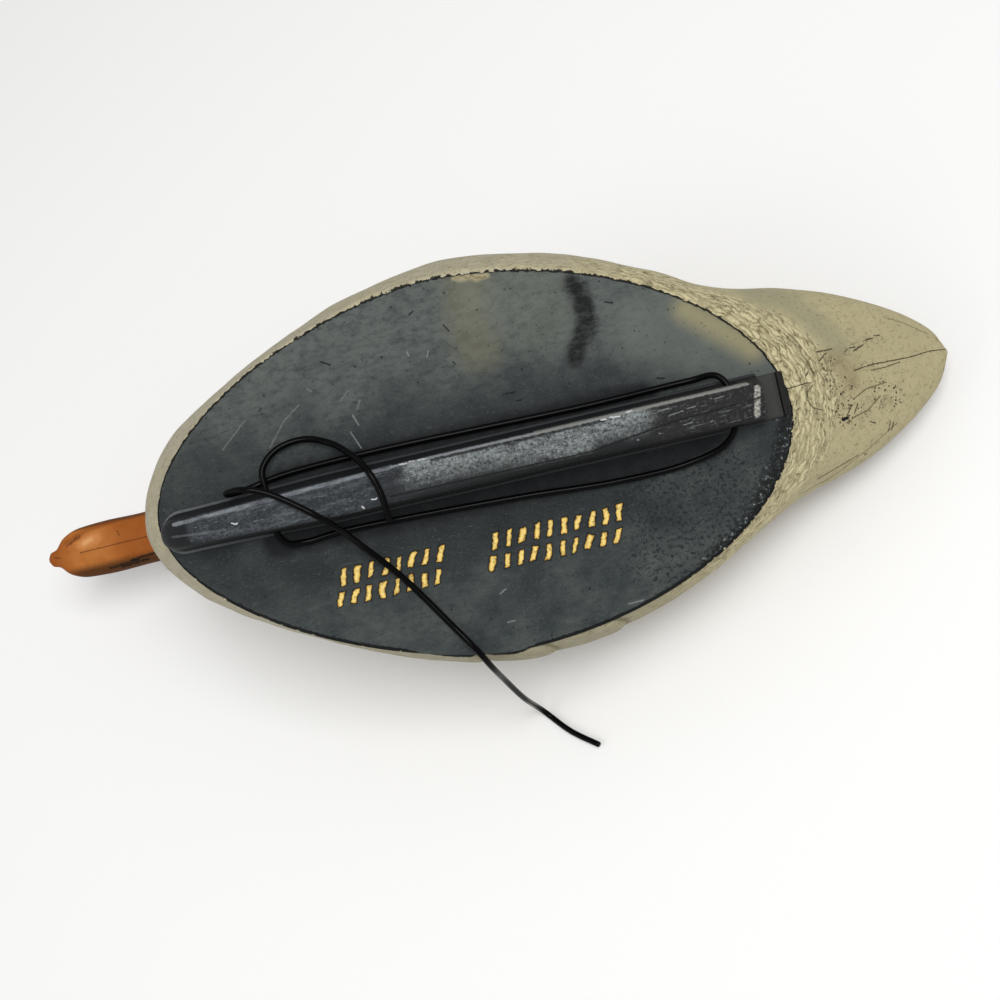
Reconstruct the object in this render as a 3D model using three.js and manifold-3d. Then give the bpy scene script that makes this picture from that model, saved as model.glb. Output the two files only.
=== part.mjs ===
// Plastic duck decoy, lying upside down on its back and crown with the flat bottom turned up.
// The duck is drawn standing up in its own frame, in millimetres: x to the bill, y to its left,
// z up, and the flat bottom at z = 0. One turned group then lays it down as it rests on a table.
import * as THREE from 'three';
import * as BufferGeometryUtils from 'three/addons/utils/BufferGeometryUtils.js';
import Module from 'manifold-3d';

// Driving dimensions of the body
const BOTTOM_REACH = 150;        // from the middle to either end of the flat bottom
const BOTTOM_HALF = 88.8;        // half of its greatest width, at the middle
const BOTTOM_FRONT = [1.57, 1.8]; // powers of the rounder front half of its outline
const BOTTOM_REAR = [1.9, 1.9];  // powers of the fuller rear half
const SHELL_WARP = 0.033;        // the old shell's flat bottom swings this much off the seam line
const SHELL_SHIFT = -0.5;
const BREAST_X = 165.5;
const TAIL_X = -245.5;

// Lines of the body, as a boat builder gives them: station, half beam, height of the beam,
// height of the underside and height of the back
const BODY_LINES = [
  [-245.5, 0.8, 56, 55, 57.5],
  [-240, 11.5, 55, 50.5, 60.5],
  [-230, 21.2, 53.5, 45, 63.5],
  [-215, 31, 51, 37, 68],
  [-195, 41, 48, 27, 75.5],
  [-172, 48.6, 45, 14, 84],
  [-150, 54.4, 43, 0, 92],
  [-130, 61.6, 41.5, 0, 98.5],
  [-100, 76.6, 40, 0, 106],
  [-60, 91.8, 40, 0, 112],
  [-10, 99.4, 40, 0, 115],
  [40, 91.2, 41, 0, 113],
  [80, 75.6, 43, 0, 108],
  [120, 55.4, 46, 0, 95.5],
  [140, 43.2, 48, 0, 83],
  [150, 33.8, 49, 2, 74.5],
  [158, 22.8, 50, 12, 66.5],
  [163.5, 9.4, 50, 33, 58.5],
  [165.5, 0.8, 50, 48.5, 51.5],
];
// Sideways drift of the flanks from the seam line, by station
const DRIFT = [[-245.5, 0.2], [-200, -0.6], [-160, -0.2], [-125, -2.6], [0, 0.9], [80, 3], [125, 4.2], [150, 4.6], [165.5, 2]];
// Fullness of the lower flank: 0 leaves the bottom level, 0.5 leaves it at a steep edge
const FULLNESS = [[-245.5, 0.1], [-150, 0.14], [-115, 0.4], [125, 0.4], [150, 0.3], [165.5, 0.1]];
const BODY_STATIONS = 58;
const BOTTOM_STEPS = 4;
const FLANK_STEPS = 5;
const BACK_STEPS = 12;

// Folded wings, raised on the back
const WING_FRONT = 78;
const WING_TIP = -178;
const WING_RAISE = 5;
const WING_EDGE = [0.3, 0.36];   // where its lower edge starts up the side, and how far it climbs aft
const WING_GROOVE = 0.9;         // where the furrow between the wings starts

// Neck, head and bill, as sections along one bent line: centre x and z, lean of the section from
// level (0) to upright (90), half width, half depth and squareness of the section
const HEAD_LINES = [
  [80, 72, 0, 42, 46, 2],
  [84, 96, 2, 34.5, 41, 2],
  [91, 112, 8, 27, 33, 2],
  [100, 128, 24, 23.5, 29.5, 2],
  [113, 143.5, 52, 25, 29.5, 2],
  [131, 151.5, 80, 27.6, 27.8, 2.1],
  [148, 152.5, 92, 27.2, 26.4, 2.1],
  [162, 150.5, 98, 23.4, 22.6, 2.1],
  [172, 147.5, 101, 18, 17.4, 2.2],
  [180, 145, 102, 15.2, 13.8, 2.5],
  [192, 142.4, 103, 14.6, 10.8, 2.6],
  [208, 139.6, 103, 15, 8, 2.6],
  [225, 137, 102, 14.6, 6.2, 2.6],
  [236, 135.4, 100, 12, 5.2, 2.4],
  [242.5, 134.4, 98, 6.6, 4.2, 2.2],
  [245.5, 133.6, 96, 2.6, 3, 2],
  [246.8, 133.2, 96, 1, 1, 2],
];
const HEAD_TURN = -2.3;          // the bill points this many millimetres to the right
const HEAD_RINGS = 44;
const HEAD_SIDES = 26;
const EYE = { x: 153, y: 22.6, z: 163, radius: 5.4, out: 0.36 };

// Keel: a black plastic bar along the bottom, with a low pad and a tie bar behind it
const KEEL_GAP = 0.3;
const KEEL_FLANGE = 2;           // thickness of the thin foot all round it
const KEEL_DEPTH = 21;
const KEEL_BEVEL = 1.8;
const KEEL_NOSE = 148.5;
const KEEL_NOSE_LENGTH = 10;     // the rounding of the nose seen from below
const KEEL_RAMP = 26;            // the rounding of the nose seen from the side
const KEEL_REAR = -134.5;
const KEEL_FOOT = [10.2, 12];    // half width of the foot, at the nose and along the bar
const KEEL_FACE = [5.2, 7.2];    // half width of the free face, likewise
const KEEL_TAPER_END = 60;       // station where the bar reaches its full width
const PAD_END = -143.6;
const SLOT_END = -145.2;
const TIE_END = -148.2;
const PAD_HEIGHT = 2.4;
const SLOT_HEIGHT = 1.1;
const TIE_HEIGHT = 4.2;
const PAD_HALF = 10.4;
const LINE_HOLE_RADIUS = 3.6;
const LINE_HOLES = [[96.3, 6.2], [-121.7, 9.2]];  // station and height above the bottom

// Decoy line: from its cut end over the keel, round a loose loop, through the front hole, back
// along the bottom, through the rear hole, forward again, round the nose of the keel, and over
// the edge of the bottom to the free end on the table
const LINE_DIAMETER = 3;
const LINE_STEPS_BETWEEN = 2;    // steps of the tube from one point of the route to the next
const LINE_SIDES = 8;
const LINE_ROUTE = [
  [42.8, -16, -22.8], [44, -2, -23.5], [47.6, 9.2, -22.4], [55, 18.6, -12.5], [64, 25.6, -5],
  [75, 29.4, -2.8], [88, 27.4, -3.6], [95.8, 20, -5.8], [96.4, 9, -6.2], [96.2, -9, -6.2],
  [92.4, -15.6, -5.2], [84, -17.2, -2.8], [66, -16.2, -2.3], [-16, -19.3, -2.3], [-63, -22.5, -2.3],
  [-97, -21.8, -2.6], [-115, -16.8, -6.6], [-121.6, -8, -9.2], [-121.8, 8, -9.2], [-117.4, 15, -7],
  [-105, 15.4, -3], [-58, 14.9, -2.3], [48, 16.6, -2.3], [90, 15.2, -2.3], [104, 12.8, -4],
  [112.4, 12.2, -9.6], [112, 13, -18], [105, 13.2, -22.8], [94, 9.2, -23.5], [70.5, -9.4, -22.3],
  [57, -27, -7.5], [44, -44, -2.4], [27, -70.5, -2.3], [18, -85, -2.9], [13.8, -94, 3.6],
  [9.2, -105.9, 25], [2.2, -121.5, 50], [-6.5, -136.7, 79.4], [-17.6, -148.4, 73], [-30.4, -157.2, 65.7],
];

// How the decoy lies: the direction that is up, given in the duck's own frame, and how far the
// wear of its two resting places has flattened the back and the crown
const LIE_UP = new THREE.Vector3(0.2359, 0.4, -0.8856).normalize();
const FLAT_SPOT = 1.5;
const TABLE_BLOCK = 800;         // a block under the table's top, larger than the decoy
const UP = new THREE.Vector3(0, 0, 1);

// Smooth curve through rows of [station, value], with no overshoot between them
function fairCurve(rows, column = 1) {
  const x = rows.map((row) => row[0]);
  const y = rows.map((row) => row[column]);
  const slope = x.slice(1).map((v, i) => (y[i + 1] - y[i]) / (v - x[i]));
  const tangent = x.map((v, i) => {
    if (i === 0) return slope[0];
    if (i === x.length - 1) return slope[i - 1];
    if (slope[i - 1] * slope[i] <= 0) return 0;
    const before = x[i] - x[i - 1];
    const after = x[i + 1] - x[i];
    const a = (2 * after + before) / (3 * (after + before));
    const b = (after + 2 * before) / (3 * (after + before));
    return 1 / (a / slope[i - 1] + b / slope[i]);
  });
  return (at) => {
    const t = Math.min(Math.max(at, x[0]), x[x.length - 1]);
    let i = 0;
    while (i < x.length - 2 && t > x[i + 1]) i += 1;
    const h = x[i + 1] - x[i];
    const u = (t - x[i]) / h;
    const rise = y[i + 1] - y[i];
    const start = tangent[i] * h;
    const end = tangent[i + 1] * h;
    return y[i] + u * (start + u * (3 * rise - 2 * start - end + u * (start + end - 2 * rise)));
  };
}

function smoothStep(from, to, value) {
  return THREE.MathUtils.smoothstep((value - from) / (to - from), 0, 1);
}

// Closed skin over a row of rings with the same number of points, each end closed by a fan
function loft(rings) {
  const count = rings[0].length;
  const points = rings.flat();
  const index = [];
  for (let i = 0; i < rings.length - 1; i += 1) {
    for (let j = 0; j < count; j += 1) {
      const a = i * count + j;
      const b = i * count + ((j + 1) % count);
      index.push(a, b, a + count, b, b + count, a + count);
    }
  }
  for (const end of [0, rings.length - 1]) {
    const centre = new THREE.Vector3();
    rings[end].forEach((p) => centre.add(p));
    points.push(centre.divideScalar(count));
    for (let j = 0; j < count; j += 1) {
      const a = end * count + j;
      const b = end * count + ((j + 1) % count);
      if (end === 0) index.push(points.length - 1, b, a);
      else index.push(points.length - 1, a, b);
    }
  }
  const geometry = new THREE.BufferGeometry().setFromPoints(points);
  geometry.setIndex(index);
  return geometry;
}

const wasm = await Module();
wasm.setup();

function toSolid(geometry) {
  const bare = geometry.clone();
  bare.deleteAttribute('normal');
  bare.deleteAttribute('uv');
  const merged = BufferGeometryUtils.mergeVertices(bare, 1e-4);
  const vertProperties = new Float32Array(merged.attributes.position.array);
  const triVerts = new Uint32Array(merged.index.array);
  return new wasm.Manifold(new wasm.Mesh({ numProp: 3, vertProperties, triVerts }));
}

function toGeometry(solid) {
  const mesh = solid.getMesh();
  const geometry = new THREE.BufferGeometry();
  geometry.setAttribute('position', new THREE.BufferAttribute(mesh.vertProperties, 3));
  geometry.setIndex(new THREE.BufferAttribute(mesh.triVerts, 1));
  return geometry;
}

// Half width of the flat bottom at a station
function bottomHalf(x) {
  const reach = Math.min(Math.abs(x) / BOTTOM_REACH, 1);
  const [power, root] = x > 0 ? BOTTOM_FRONT : BOTTOM_REAR;
  return BOTTOM_HALF * (1 - reach ** power) ** (1 / root);
}

const halfBeam = fairCurve(BODY_LINES, 1);
const beamHeight = fairCurve(BODY_LINES, 2);
const underside = fairCurve(BODY_LINES, 3);
const backHeight = fairCurve(BODY_LINES, 4);
const drift = fairCurve(DRIFT);
const fullness = fairCurve(FULLNESS);

// Raise of the folded wing above the back, at a station and a share of the way up the side
function wingRaise(x, climb) {
  const along = THREE.MathUtils.clamp((WING_FRONT - x) / (WING_FRONT - WING_TIP), 0, 1);
  const edge = WING_EDGE[0] + WING_EDGE[1] * along ** 2;
  const ends = smoothStep(0, 0.12, along) * smoothStep(1, 0.9, along);
  const furrow = 1 - smoothStep(WING_GROOVE, 1, climb) * smoothStep(0.25, 0.5, along);
  return WING_RAISE * ends * furrow * smoothStep(edge - 0.05, edge + 0.05, climb);
}

// Half of one body section, from the middle of the bottom round to the middle of the back
function bodyHalfSection(x) {
  const beam = halfBeam(x);
  const wide = Math.max(bottomHalf(x), Math.min(1, beam * 0.3));
  const low = underside(x);
  const mid = beamHeight(x);
  const high = backHeight(x);
  const half = [];
  for (let i = 0; i <= BOTTOM_STEPS; i += 1) half.push([(wide * i) / BOTTOM_STEPS, low]);
  for (let i = 1; i <= FLANK_STEPS; i += 1) {
    const u = i / FLANK_STEPS;
    const out = 1 - (1 - u) ** 2;
    const up = 2 * u * (1 - u) * fullness(x) + u * u;
    half.push([wide + (beam - wide) * out, low + (mid - low) * up]);
  }
  for (let i = 1; i <= BACK_STEPS; i += 1) {
    const climb = i / BACK_STEPS;
    const angle = (climb * Math.PI) / 2;
    const raise = wingRaise(x, climb);
    const y = (beam + raise * 0.6) * Math.max(Math.cos(angle), 0) ** 0.9;
    half.push([y, mid + (high - mid) * Math.sin(angle) ** 0.95 + raise * Math.sin(angle)]);
  }
  return half;
}

function bodyRing(x) {
  const half = bodyHalfSection(x);
  const bottomDrift = SHELL_WARP * x + SHELL_SHIFT;
  const place = ([y, z], side, i) => {
    const off = i <= BOTTOM_STEPS && Math.abs(x) < BOTTOM_REACH ? bottomDrift : drift(x);
    return new THREE.Vector3(x, side * y + off, z);
  };
  const left = half.map((p, i) => place(p, 1, i));
  const right = half.map((p, i) => place(p, -1, i)).slice(1, -1).reverse();
  return left.concat(right);
}

// Body: breast, flat bottom, flanks, back with folded wings, and the pointed tail
function bodySkin() {
  const rings = [];
  for (let i = 0; i <= BODY_STATIONS; i += 1) {
    const turn = (i * Math.PI) / BODY_STATIONS;
    rings.push(bodyRing((BREAST_X + TAIL_X) / 2 - ((BREAST_X - TAIL_X) / 2) * Math.cos(turn)));
  }
  return loft(rings);
}

// Neck, head and bill as one bent skin
function headSkin() {
  const rows = HEAD_LINES.map((row, i) => [i, ...row]);
  const columns = [1, 2, 3, 4, 5, 6].map((column) => fairCurve(rows, column));
  const rings = [];
  for (let i = 0; i <= HEAD_RINGS; i += 1) {
    const at = (i * (HEAD_LINES.length - 1)) / HEAD_RINGS;
    const [x, z, lean, half, depth, square] = columns.map((column) => column(at));
    const angle = THREE.MathUtils.degToRad(lean);
    const turn = HEAD_TURN * smoothStep(120, 200, x);
    const ring = [];
    for (let j = 0; j < HEAD_SIDES; j += 1) {
      const around = (2 * Math.PI * j) / HEAD_SIDES;
      const c = Math.cos(around);
      const s = Math.sin(around);
      const side = half * Math.sign(c) * Math.abs(c) ** (2 / square);
      const up = depth * Math.sign(s) * Math.abs(s) ** (2 / square);
      ring.push(new THREE.Vector3(x - up * Math.cos(angle), side + turn, z + up * Math.sin(angle)));
    }
    rings.push(ring);
  }
  return loft(rings);
}

// Height of a solid's lowest point above the duck's origin, as the decoy lies
function lowestLying(solid) {
  const at = solid.getMesh().vertProperties;
  const point = new THREE.Vector3();
  let lowest = Infinity;
  for (let i = 0; i < at.length; i += 3) {
    lowest = Math.min(lowest, point.fromArray(at, i).dot(LIE_UP));
  }
  return lowest;
}

// One moulding: body, head and the low domes of the eyes, with the flat spots it rests on
function decoyBody() {
  let solid = toSolid(bodySkin()).add(toSolid(headSkin()));
  for (const side of [1, -1]) {
    const dome = new THREE.SphereGeometry(EYE.radius, 14, 8);
    dome.scale(1, EYE.out, 1);
    dome.translate(EYE.x, side * EYE.y, EYE.z);
    solid = solid.add(toSolid(dome));
  }
  const below = new THREE.BoxGeometry(TABLE_BLOCK, TABLE_BLOCK, TABLE_BLOCK);
  below.applyQuaternion(new THREE.Quaternion().setFromUnitVectors(UP, LIE_UP));
  const centre = LIE_UP.clone().multiplyScalar(lowestLying(solid) + FLAT_SPOT - TABLE_BLOCK / 2);
  below.translate(centre.x, centre.y, centre.z);
  return solid.subtract(toSolid(below));
}

// One section of the keel, given its half widths, its depth and the thickness of its foot
function keelRing(x, foot, face, depth) {
  const top = -KEEL_GAP;
  const thin = Math.min(KEEL_FLANGE, depth * 0.5);
  const bevel = Math.min(KEEL_BEVEL, depth * 0.25);
  const left = [
    [foot, top],
    [foot, top - thin],
    [Math.min(foot - 0.6, face + (foot - face) * 0.75), top - thin],
    [face + bevel * 0.8, -depth + bevel],
    [face, -depth],
  ];
  const right = left.map(([y, z]) => [-y, z]).reverse();
  return left.concat(right).reverse().map(([y, z]) => new THREE.Vector3(x, y, z));
}

function keelBar() {
  const rings = [];
  const flat = (x, height) => rings.push(keelRing(x, PAD_HALF, PAD_HALF * 0.9, KEEL_GAP + height));
  flat(TIE_END, TIE_HEIGHT * 0.8);
  flat(TIE_END + 0.6, TIE_HEIGHT);
  flat(SLOT_END - 0.1, TIE_HEIGHT);
  flat(SLOT_END, SLOT_HEIGHT);
  flat(PAD_END, SLOT_HEIGHT);
  flat(PAD_END + 0.1, PAD_HEIGHT);
  flat(KEEL_REAR - 2, PAD_HEIGHT);
  const bar = (x, nose, ramp, shrink) => {
    const full = smoothStep(KEEL_NOSE - KEEL_NOSE_LENGTH, KEEL_TAPER_END, x);
    const foot = THREE.MathUtils.lerp(KEEL_FOOT[0], KEEL_FOOT[1], full) * nose;
    const face = THREE.MathUtils.lerp(KEEL_FACE[0], KEEL_FACE[1], full) * nose * shrink;
    rings.push(keelRing(x, foot, face, PAD_HEIGHT + (KEEL_DEPTH - PAD_HEIGHT) * ramp));
  };
  bar(KEEL_REAR - 1.9, 1, 0.02, 1);
  bar(KEEL_REAR, 1, 0.88, 0.94);
  bar(KEEL_REAR + 1.6, 1, 1, 1);
  for (const x of [-90, -45, 0, 40, KEEL_TAPER_END, 85, 105]) bar(x, 1, 1, 1);
  for (let i = 0; i <= 9; i += 1) {
    const ahead = Math.sin((i * Math.PI) / 18);
    const x = KEEL_NOSE - KEEL_RAMP + KEEL_RAMP * ahead * 0.995;
    const round = THREE.MathUtils.clamp((x - KEEL_NOSE + KEEL_NOSE_LENGTH) / KEEL_NOSE_LENGTH, 0, 1);
    const ramp = Math.sqrt(Math.max(1 - ahead ** 2, 0));
    bar(x, Math.sqrt(1 - round ** 2), 0.04 + 0.96 * ramp, 1);
  }
  return loft(rings);
}

function keel() {
  let solid = toSolid(keelBar());
  for (const [x, height] of LINE_HOLES) {
    const drill = new THREE.CylinderGeometry(LINE_HOLE_RADIUS, LINE_HOLE_RADIUS, 40, 16);
    drill.translate(x, 0, -height);
    solid = solid.subtract(toSolid(drill));
  }
  return solid;
}

// Decoy line: a plain tube, its steps shared out by the points of the route, so bends get short ones
function decoyLine() {
  const path = new THREE.CatmullRomCurve3(LINE_ROUTE.map(([x, y, z]) => new THREE.Vector3(x, y, z)));
  path.getUtoTmapping = (share) => share;
  const section = new THREE.Shape();
  for (let i = 0; i < LINE_SIDES; i += 1) {
    const angle = (2 * Math.PI * i) / LINE_SIDES;
    const x = (LINE_DIAMETER / 2) * Math.cos(angle);
    const y = (LINE_DIAMETER / 2) * Math.sin(angle);
    if (i === 0) section.moveTo(x, y);
    else section.lineTo(x, y);
  }
  section.closePath();
  const steps = LINE_STEPS_BETWEEN * (LINE_ROUTE.length - 1);
  return new THREE.ExtrudeGeometry(section, { steps, extrudePath: path });
}

function named(name, geometry, color, roughness) {
  const mesh = new THREE.Mesh(geometry, new THREE.MeshStandardMaterial({ color, roughness, metalness: 0 }));
  mesh.name = name;
  return mesh;
}

const duck = new THREE.Group();
duck.add(named('decoy_body', toGeometry(decoyBody()), 0xaea483, 0.62));
duck.add(named('keel', toGeometry(keel()), 0x303335, 0.5));

// Laid down: LIE_UP turned upright, then the bill swung round to -X, and the flat spots set at
// z = 0 with the middle of the decoy over the origin
const lie = new THREE.Quaternion().setFromUnitVectors(LIE_UP, UP);
const bill = new THREE.Vector3(1, 0, 0).applyQuaternion(lie);
const swing = new THREE.Quaternion().setFromAxisAngle(UP, Math.PI - Math.atan2(bill.y, bill.x));
duck.quaternion.copy(swing.multiply(lie));
const reach = new THREE.Box3().setFromObject(duck, true);
const middle = reach.getCenter(new THREE.Vector3());
duck.position.set(-middle.x, -middle.y, -reach.min.z);
duck.add(named('decoy_line', decoyLine(), 0x0c0d0d, 0.28));

const decoy = new THREE.Group();
decoy.add(duck);

export default decoy;
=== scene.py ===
"""An old plastic duck decoy that lies upside down, its flat bottom, keel and line turned up."""
import math

import bpy
import numpy as np
from mathutils import Matrix, Vector


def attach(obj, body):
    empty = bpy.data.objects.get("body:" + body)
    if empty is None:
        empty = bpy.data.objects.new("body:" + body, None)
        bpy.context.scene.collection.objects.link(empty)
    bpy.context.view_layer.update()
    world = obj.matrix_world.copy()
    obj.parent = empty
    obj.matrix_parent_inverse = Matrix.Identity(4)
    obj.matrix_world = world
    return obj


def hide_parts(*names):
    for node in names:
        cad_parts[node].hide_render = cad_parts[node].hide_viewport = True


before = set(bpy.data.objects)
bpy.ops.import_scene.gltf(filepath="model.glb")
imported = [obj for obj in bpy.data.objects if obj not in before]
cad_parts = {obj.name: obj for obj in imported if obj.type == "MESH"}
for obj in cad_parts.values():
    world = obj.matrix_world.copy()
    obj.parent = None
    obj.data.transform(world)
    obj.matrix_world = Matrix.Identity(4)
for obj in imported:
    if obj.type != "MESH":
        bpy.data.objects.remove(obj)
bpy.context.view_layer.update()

# How the decoy lies. The duck is drawn standing up in its own frame, in millimetres: x to the
# bill, y to its left, z up, and the flat bottom at z = 0. It is then laid down on its back and
# crown, where years of use have worn two small flat spots.
LIE_UP = np.array((0.2359, 0.4, -0.8856))            # the direction that is up as it lies
LIE_AT = np.array((21.0719, -16.3062, 130.3104))     # where the middle of its bottom comes to lie
MM = 0.001


def lying_turn(up):
    """Rotation that lays the duck down: the shortest turn that brings up upright,
    I + [v] + [v]^2 / (1 + c) with v = up x z and c = up . z, then a swing of the bill to -X."""
    up = up / np.linalg.norm(up)
    x, y, c = up[1], -up[0], up[2]
    cross = np.array(((0, 0, y), (0, 0, -x), (-y, x, 0)))
    upright = np.eye(3) + cross + cross @ cross / (1 + c)
    swing = math.pi - math.atan2(upright[1, 0], upright[0, 0])
    cos, sin = math.cos(swing), math.sin(swing)
    return np.array(((cos, -sin, 0), (sin, cos, 0), (0, 0, 1))) @ upright


LIE = lying_turn(LIE_UP)


def laid(points):
    """Points of the duck's own frame, in millimetres, to the lying decoy's, in metres: turned,
    then shifted."""
    return (np.asarray(points, float) @ LIE.T + LIE_AT) * MM


def stood(places):
    """The same way back: metres as the decoy lies to millimetres in the duck's own frame."""
    return (np.asarray(places, float) / MM - LIE_AT) @ LIE


# The view of the photograph: the camera looks almost square at the flat bottom from 0.65 m,
# rolled so that the keel climbs to the right, and the frame is set a little off its axis.
VIEW_DISTANCE = 650
VIEW_TILT = math.radians(1.5)
VIEW_ROLL = 0.2277
VIEW_LENS = 50.28
VIEW_SHIFT = (0.0255, -0.03545)

away = np.array((0, math.sin(VIEW_TILT), -math.cos(VIEW_TILT)))
side = np.cross(-away, (0, 1, 0))
side = side / np.linalg.norm(side)
rise = np.cross(side, -away)
right = math.cos(VIEW_ROLL) * side - math.sin(VIEW_ROLL) * rise
upward = math.sin(VIEW_ROLL) * side + math.cos(VIEW_ROLL) * rise
lens = bpy.data.cameras.new("camera")
lens.lens = VIEW_LENS
lens.sensor_width = 36
lens.shift_x, lens.shift_y = VIEW_SHIFT
lens.clip_start, lens.clip_end = 0.02, 50
camera = bpy.data.objects.new("camera", lens)
bpy.context.scene.collection.objects.link(camera)
turn = np.stack((LIE @ right, LIE @ upward, LIE @ away), axis=1)
stand = Matrix.Translation(laid(VIEW_DISTANCE * away))
camera.matrix_world = stand @ Matrix(turn.tolist()).to_4x4()
bpy.context.scene.camera = camera


# Studio: a wide pale floor of matt card and soft light. The key panel hangs close to the line of
# sight, so that the upturned bottom is lit square on, and the pale room fills the rest.
FLOOR_COLOUR = "#f5f5f4"
FLOOR_HALF, FLOOR_GAP = 4, 0.0002
ROOM_LIGHT = 0.5
# place in metres, width in metres, power in watts
PANELS = (
    ((0.38, -0.24, 1.58), 0.8, 15.5),
    ((-1.3, -0.5, 1.2), 0.8, 3.5),
)


def srgb(colour, alpha=1.0):
    """A colour written as sRGB hex, as linear light: c / 12.92 near black, else
    ((c + 0.055) / 1.055) ^ 2.4."""
    parts = np.array([int(colour[i:i + 2], 16) for i in (1, 3, 5)]) / 255
    line = np.where(parts <= 0.04045, parts / 12.92, ((parts + 0.055) / 1.055) ** 2.4)
    return (*line.tolist(), alpha)


def add(tree, kind, inputs, out=0, **settings):
    """One shader node with its settings. Each input, by name or number, takes a link or a plain
    value."""
    made = tree.nodes.new("ShaderNode" + kind)
    for name, value in settings.items():
        setattr(made, name, value)
    for key, value in inputs.items():
        if isinstance(value, bpy.types.NodeSocket):
            tree.links.new(value, made.inputs[key])
        else:
            made.inputs[key].default_value = value
    return made.outputs[out]


def new_material(name):
    """An empty node material, its tree, and the input of its surface."""
    material = bpy.data.materials.new(name)
    material.use_nodes = True
    material.node_tree.nodes.clear()
    output = material.node_tree.nodes.new("ShaderNodeOutputMaterial")
    return material, material.node_tree, output.inputs["Surface"]


def new_piece(name, corners, faces, material, smooth=True):
    """A mesh object at the origin, from corners in metres and faces as lists of corner numbers."""
    mesh = bpy.data.meshes.new(name)
    mesh.from_pydata(corners.tolist(), [], faces)
    mesh.polygons.foreach_set("use_smooth", np.full(len(mesh.polygons), smooth))
    mesh.materials.append(material)
    piece = bpy.data.objects.new(name, mesh)
    bpy.context.scene.collection.objects.link(piece)
    return piece


card, tree, surface = new_material("matt_card_floor")
tree.links.new(add(tree, "BsdfDiffuse", {"Color": srgb(FLOOR_COLOUR)}), surface)
square = FLOOR_HALF * np.array(((-1, -1, 0), (1, -1, 0), (1, 1, 0), (-1, 1, 0)), float)
floor = new_piece("floor", square - (0, 0, FLOOR_GAP), [(0, 1, 2, 3)], card, smooth=False)

room = bpy.data.worlds.new("pale_room")
room.use_nodes = True
room.node_tree.nodes["Background"].inputs["Color"].default_value = (1, 1, 1, 1)
room.node_tree.nodes["Background"].inputs["Strength"].default_value = ROOM_LIGHT
bpy.context.scene.world = room
bpy.context.scene.view_settings.view_transform = "Standard"
for i, (place, width, power) in enumerate(PANELS):
    panel = bpy.data.lights.new(f"panel_{i}", "AREA")
    panel.size = width
    panel.energy = power
    lamp = bpy.data.objects.new(f"panel_{i}", panel)
    bpy.context.scene.collection.objects.link(lamp)
    lamp.location = place
    lamp.rotation_euler = Vector(place).to_track_quat("Z", "Y").to_euler()


# Decoy line: 0.90 m of soft steel-grey cord core in glossy black vinyl, 3 mm thick and bare at
# both cut ends. From one end it lies over the keel, loops, goes through the keel's front hole,
# runs back and through the rear hole, and comes forward and over the edge to the table.
LINE_THICK = 0.003                  # this, the length and the rounding of its cut ends in metres
LINE_ROUNDING = 0.0005
LINE_SIDES = 14
LINE_STEPS = 22                     # steps from one point of the route to the next
LINE_BLACK = "#060607"
LINE_CUT = "#8d8a82"
# through these points, in millimetres of the duck's frame
LINE_ROUTE = (
    (42.8, -16, -22.8), (44, -2, -23.5), (47.6, 9.2, -22.4), (55, 18.6, -12.5), (64, 25.6, -5),
    (75, 29.4, -2.8), (88, 27.4, -3.6), (95.8, 20, -5.8), (96.4, 9, -6.2), (96.2, -9, -6.2),
    (92.4, -15.6, -5.2), (84, -17.2, -2.8), (66, -16.2, -2.3), (-16, -19.3, -2.3),
    (-63, -22.5, -2.3), (-97, -21.8, -2.6), (-115, -16.8, -6.6), (-121.6, -8, -9.2),
    (-121.8, 8, -9.2), (-117.4, 15, -7), (-105, 15.4, -3), (-58, 14.9, -2.3), (48, 16.6, -2.3),
    (90, 15.2, -2.3), (104, 12.8, -4), (112.4, 12.2, -9.6), (112, 13, -18), (105, 13.2, -22.8),
    (94, 9.2, -23.5), (70.5, -9.4, -22.3), (57, -27, -7.5), (44, -44, -2.4), (27, -70.5, -2.3),
    (18, -85, -2.9), (13.8, -94, 3.6), (9.2, -105.9, 25), (2.2, -121.5, 50), (-6.5, -136.7, 79.4),
    (-17.6, -148.4, 73), (-30.4, -157.2, 65.7),
)


def smooth_route(points, steps):
    """Centripetal Catmull-Rom line through the points: each stretch is a cubic whose end slopes
    weigh the neighbouring chords by the square roots of their lengths."""
    ends = np.vstack((2 * points[0] - points[1], points, 2 * points[-1] - points[-2]))
    p0, p1, p2, p3 = ends[:-3], ends[1:-2], ends[2:-1], ends[3:]
    d0, d1, d2 = (np.linalg.norm(b - a, axis=1, keepdims=True) ** 0.5
                  for a, b in ((p0, p1), (p1, p2), (p2, p3)))
    start = ((p1 - p0) / d0 - (p2 - p0) / (d0 + d1) + (p2 - p1) / d1) * d1
    end = ((p2 - p1) / d1 - (p3 - p1) / (d1 + d2) + (p3 - p2) / d2) * d1
    u = np.linspace(0, 1, steps, endpoint=False)[None, :, None]
    a, b, s, e = p1[:, None], p2[:, None], start[:, None], end[:, None]
    line = a + u * s + u ** 2 * (3 * (b - a) - 2 * s - e) + u ** 3 * (2 * (a - b) + s + e)
    return np.vstack((line.reshape(-1, 3), points[-1]))


def along_line(line):
    """Length of the line from its start to each of its points."""
    return np.concatenate(((0,), np.cumsum(np.linalg.norm(np.diff(line, axis=0), axis=1))))


def carried_frames(line):
    """Two unit vectors square to the line at each point, carried along it without twist: each is
    the last one less its part along the new direction."""
    ahead = np.gradient(line, axis=0)
    ahead /= np.linalg.norm(ahead, axis=1, keepdims=True)
    first = np.cross(ahead[0], (0.3, 0.5, 0.8))
    across = np.empty_like(line)
    for i, direction in enumerate(ahead):
        first = first - direction * (first @ direction)
        first = first / np.linalg.norm(first)
        across[i] = first
    return across, np.cross(ahead, across)


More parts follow.
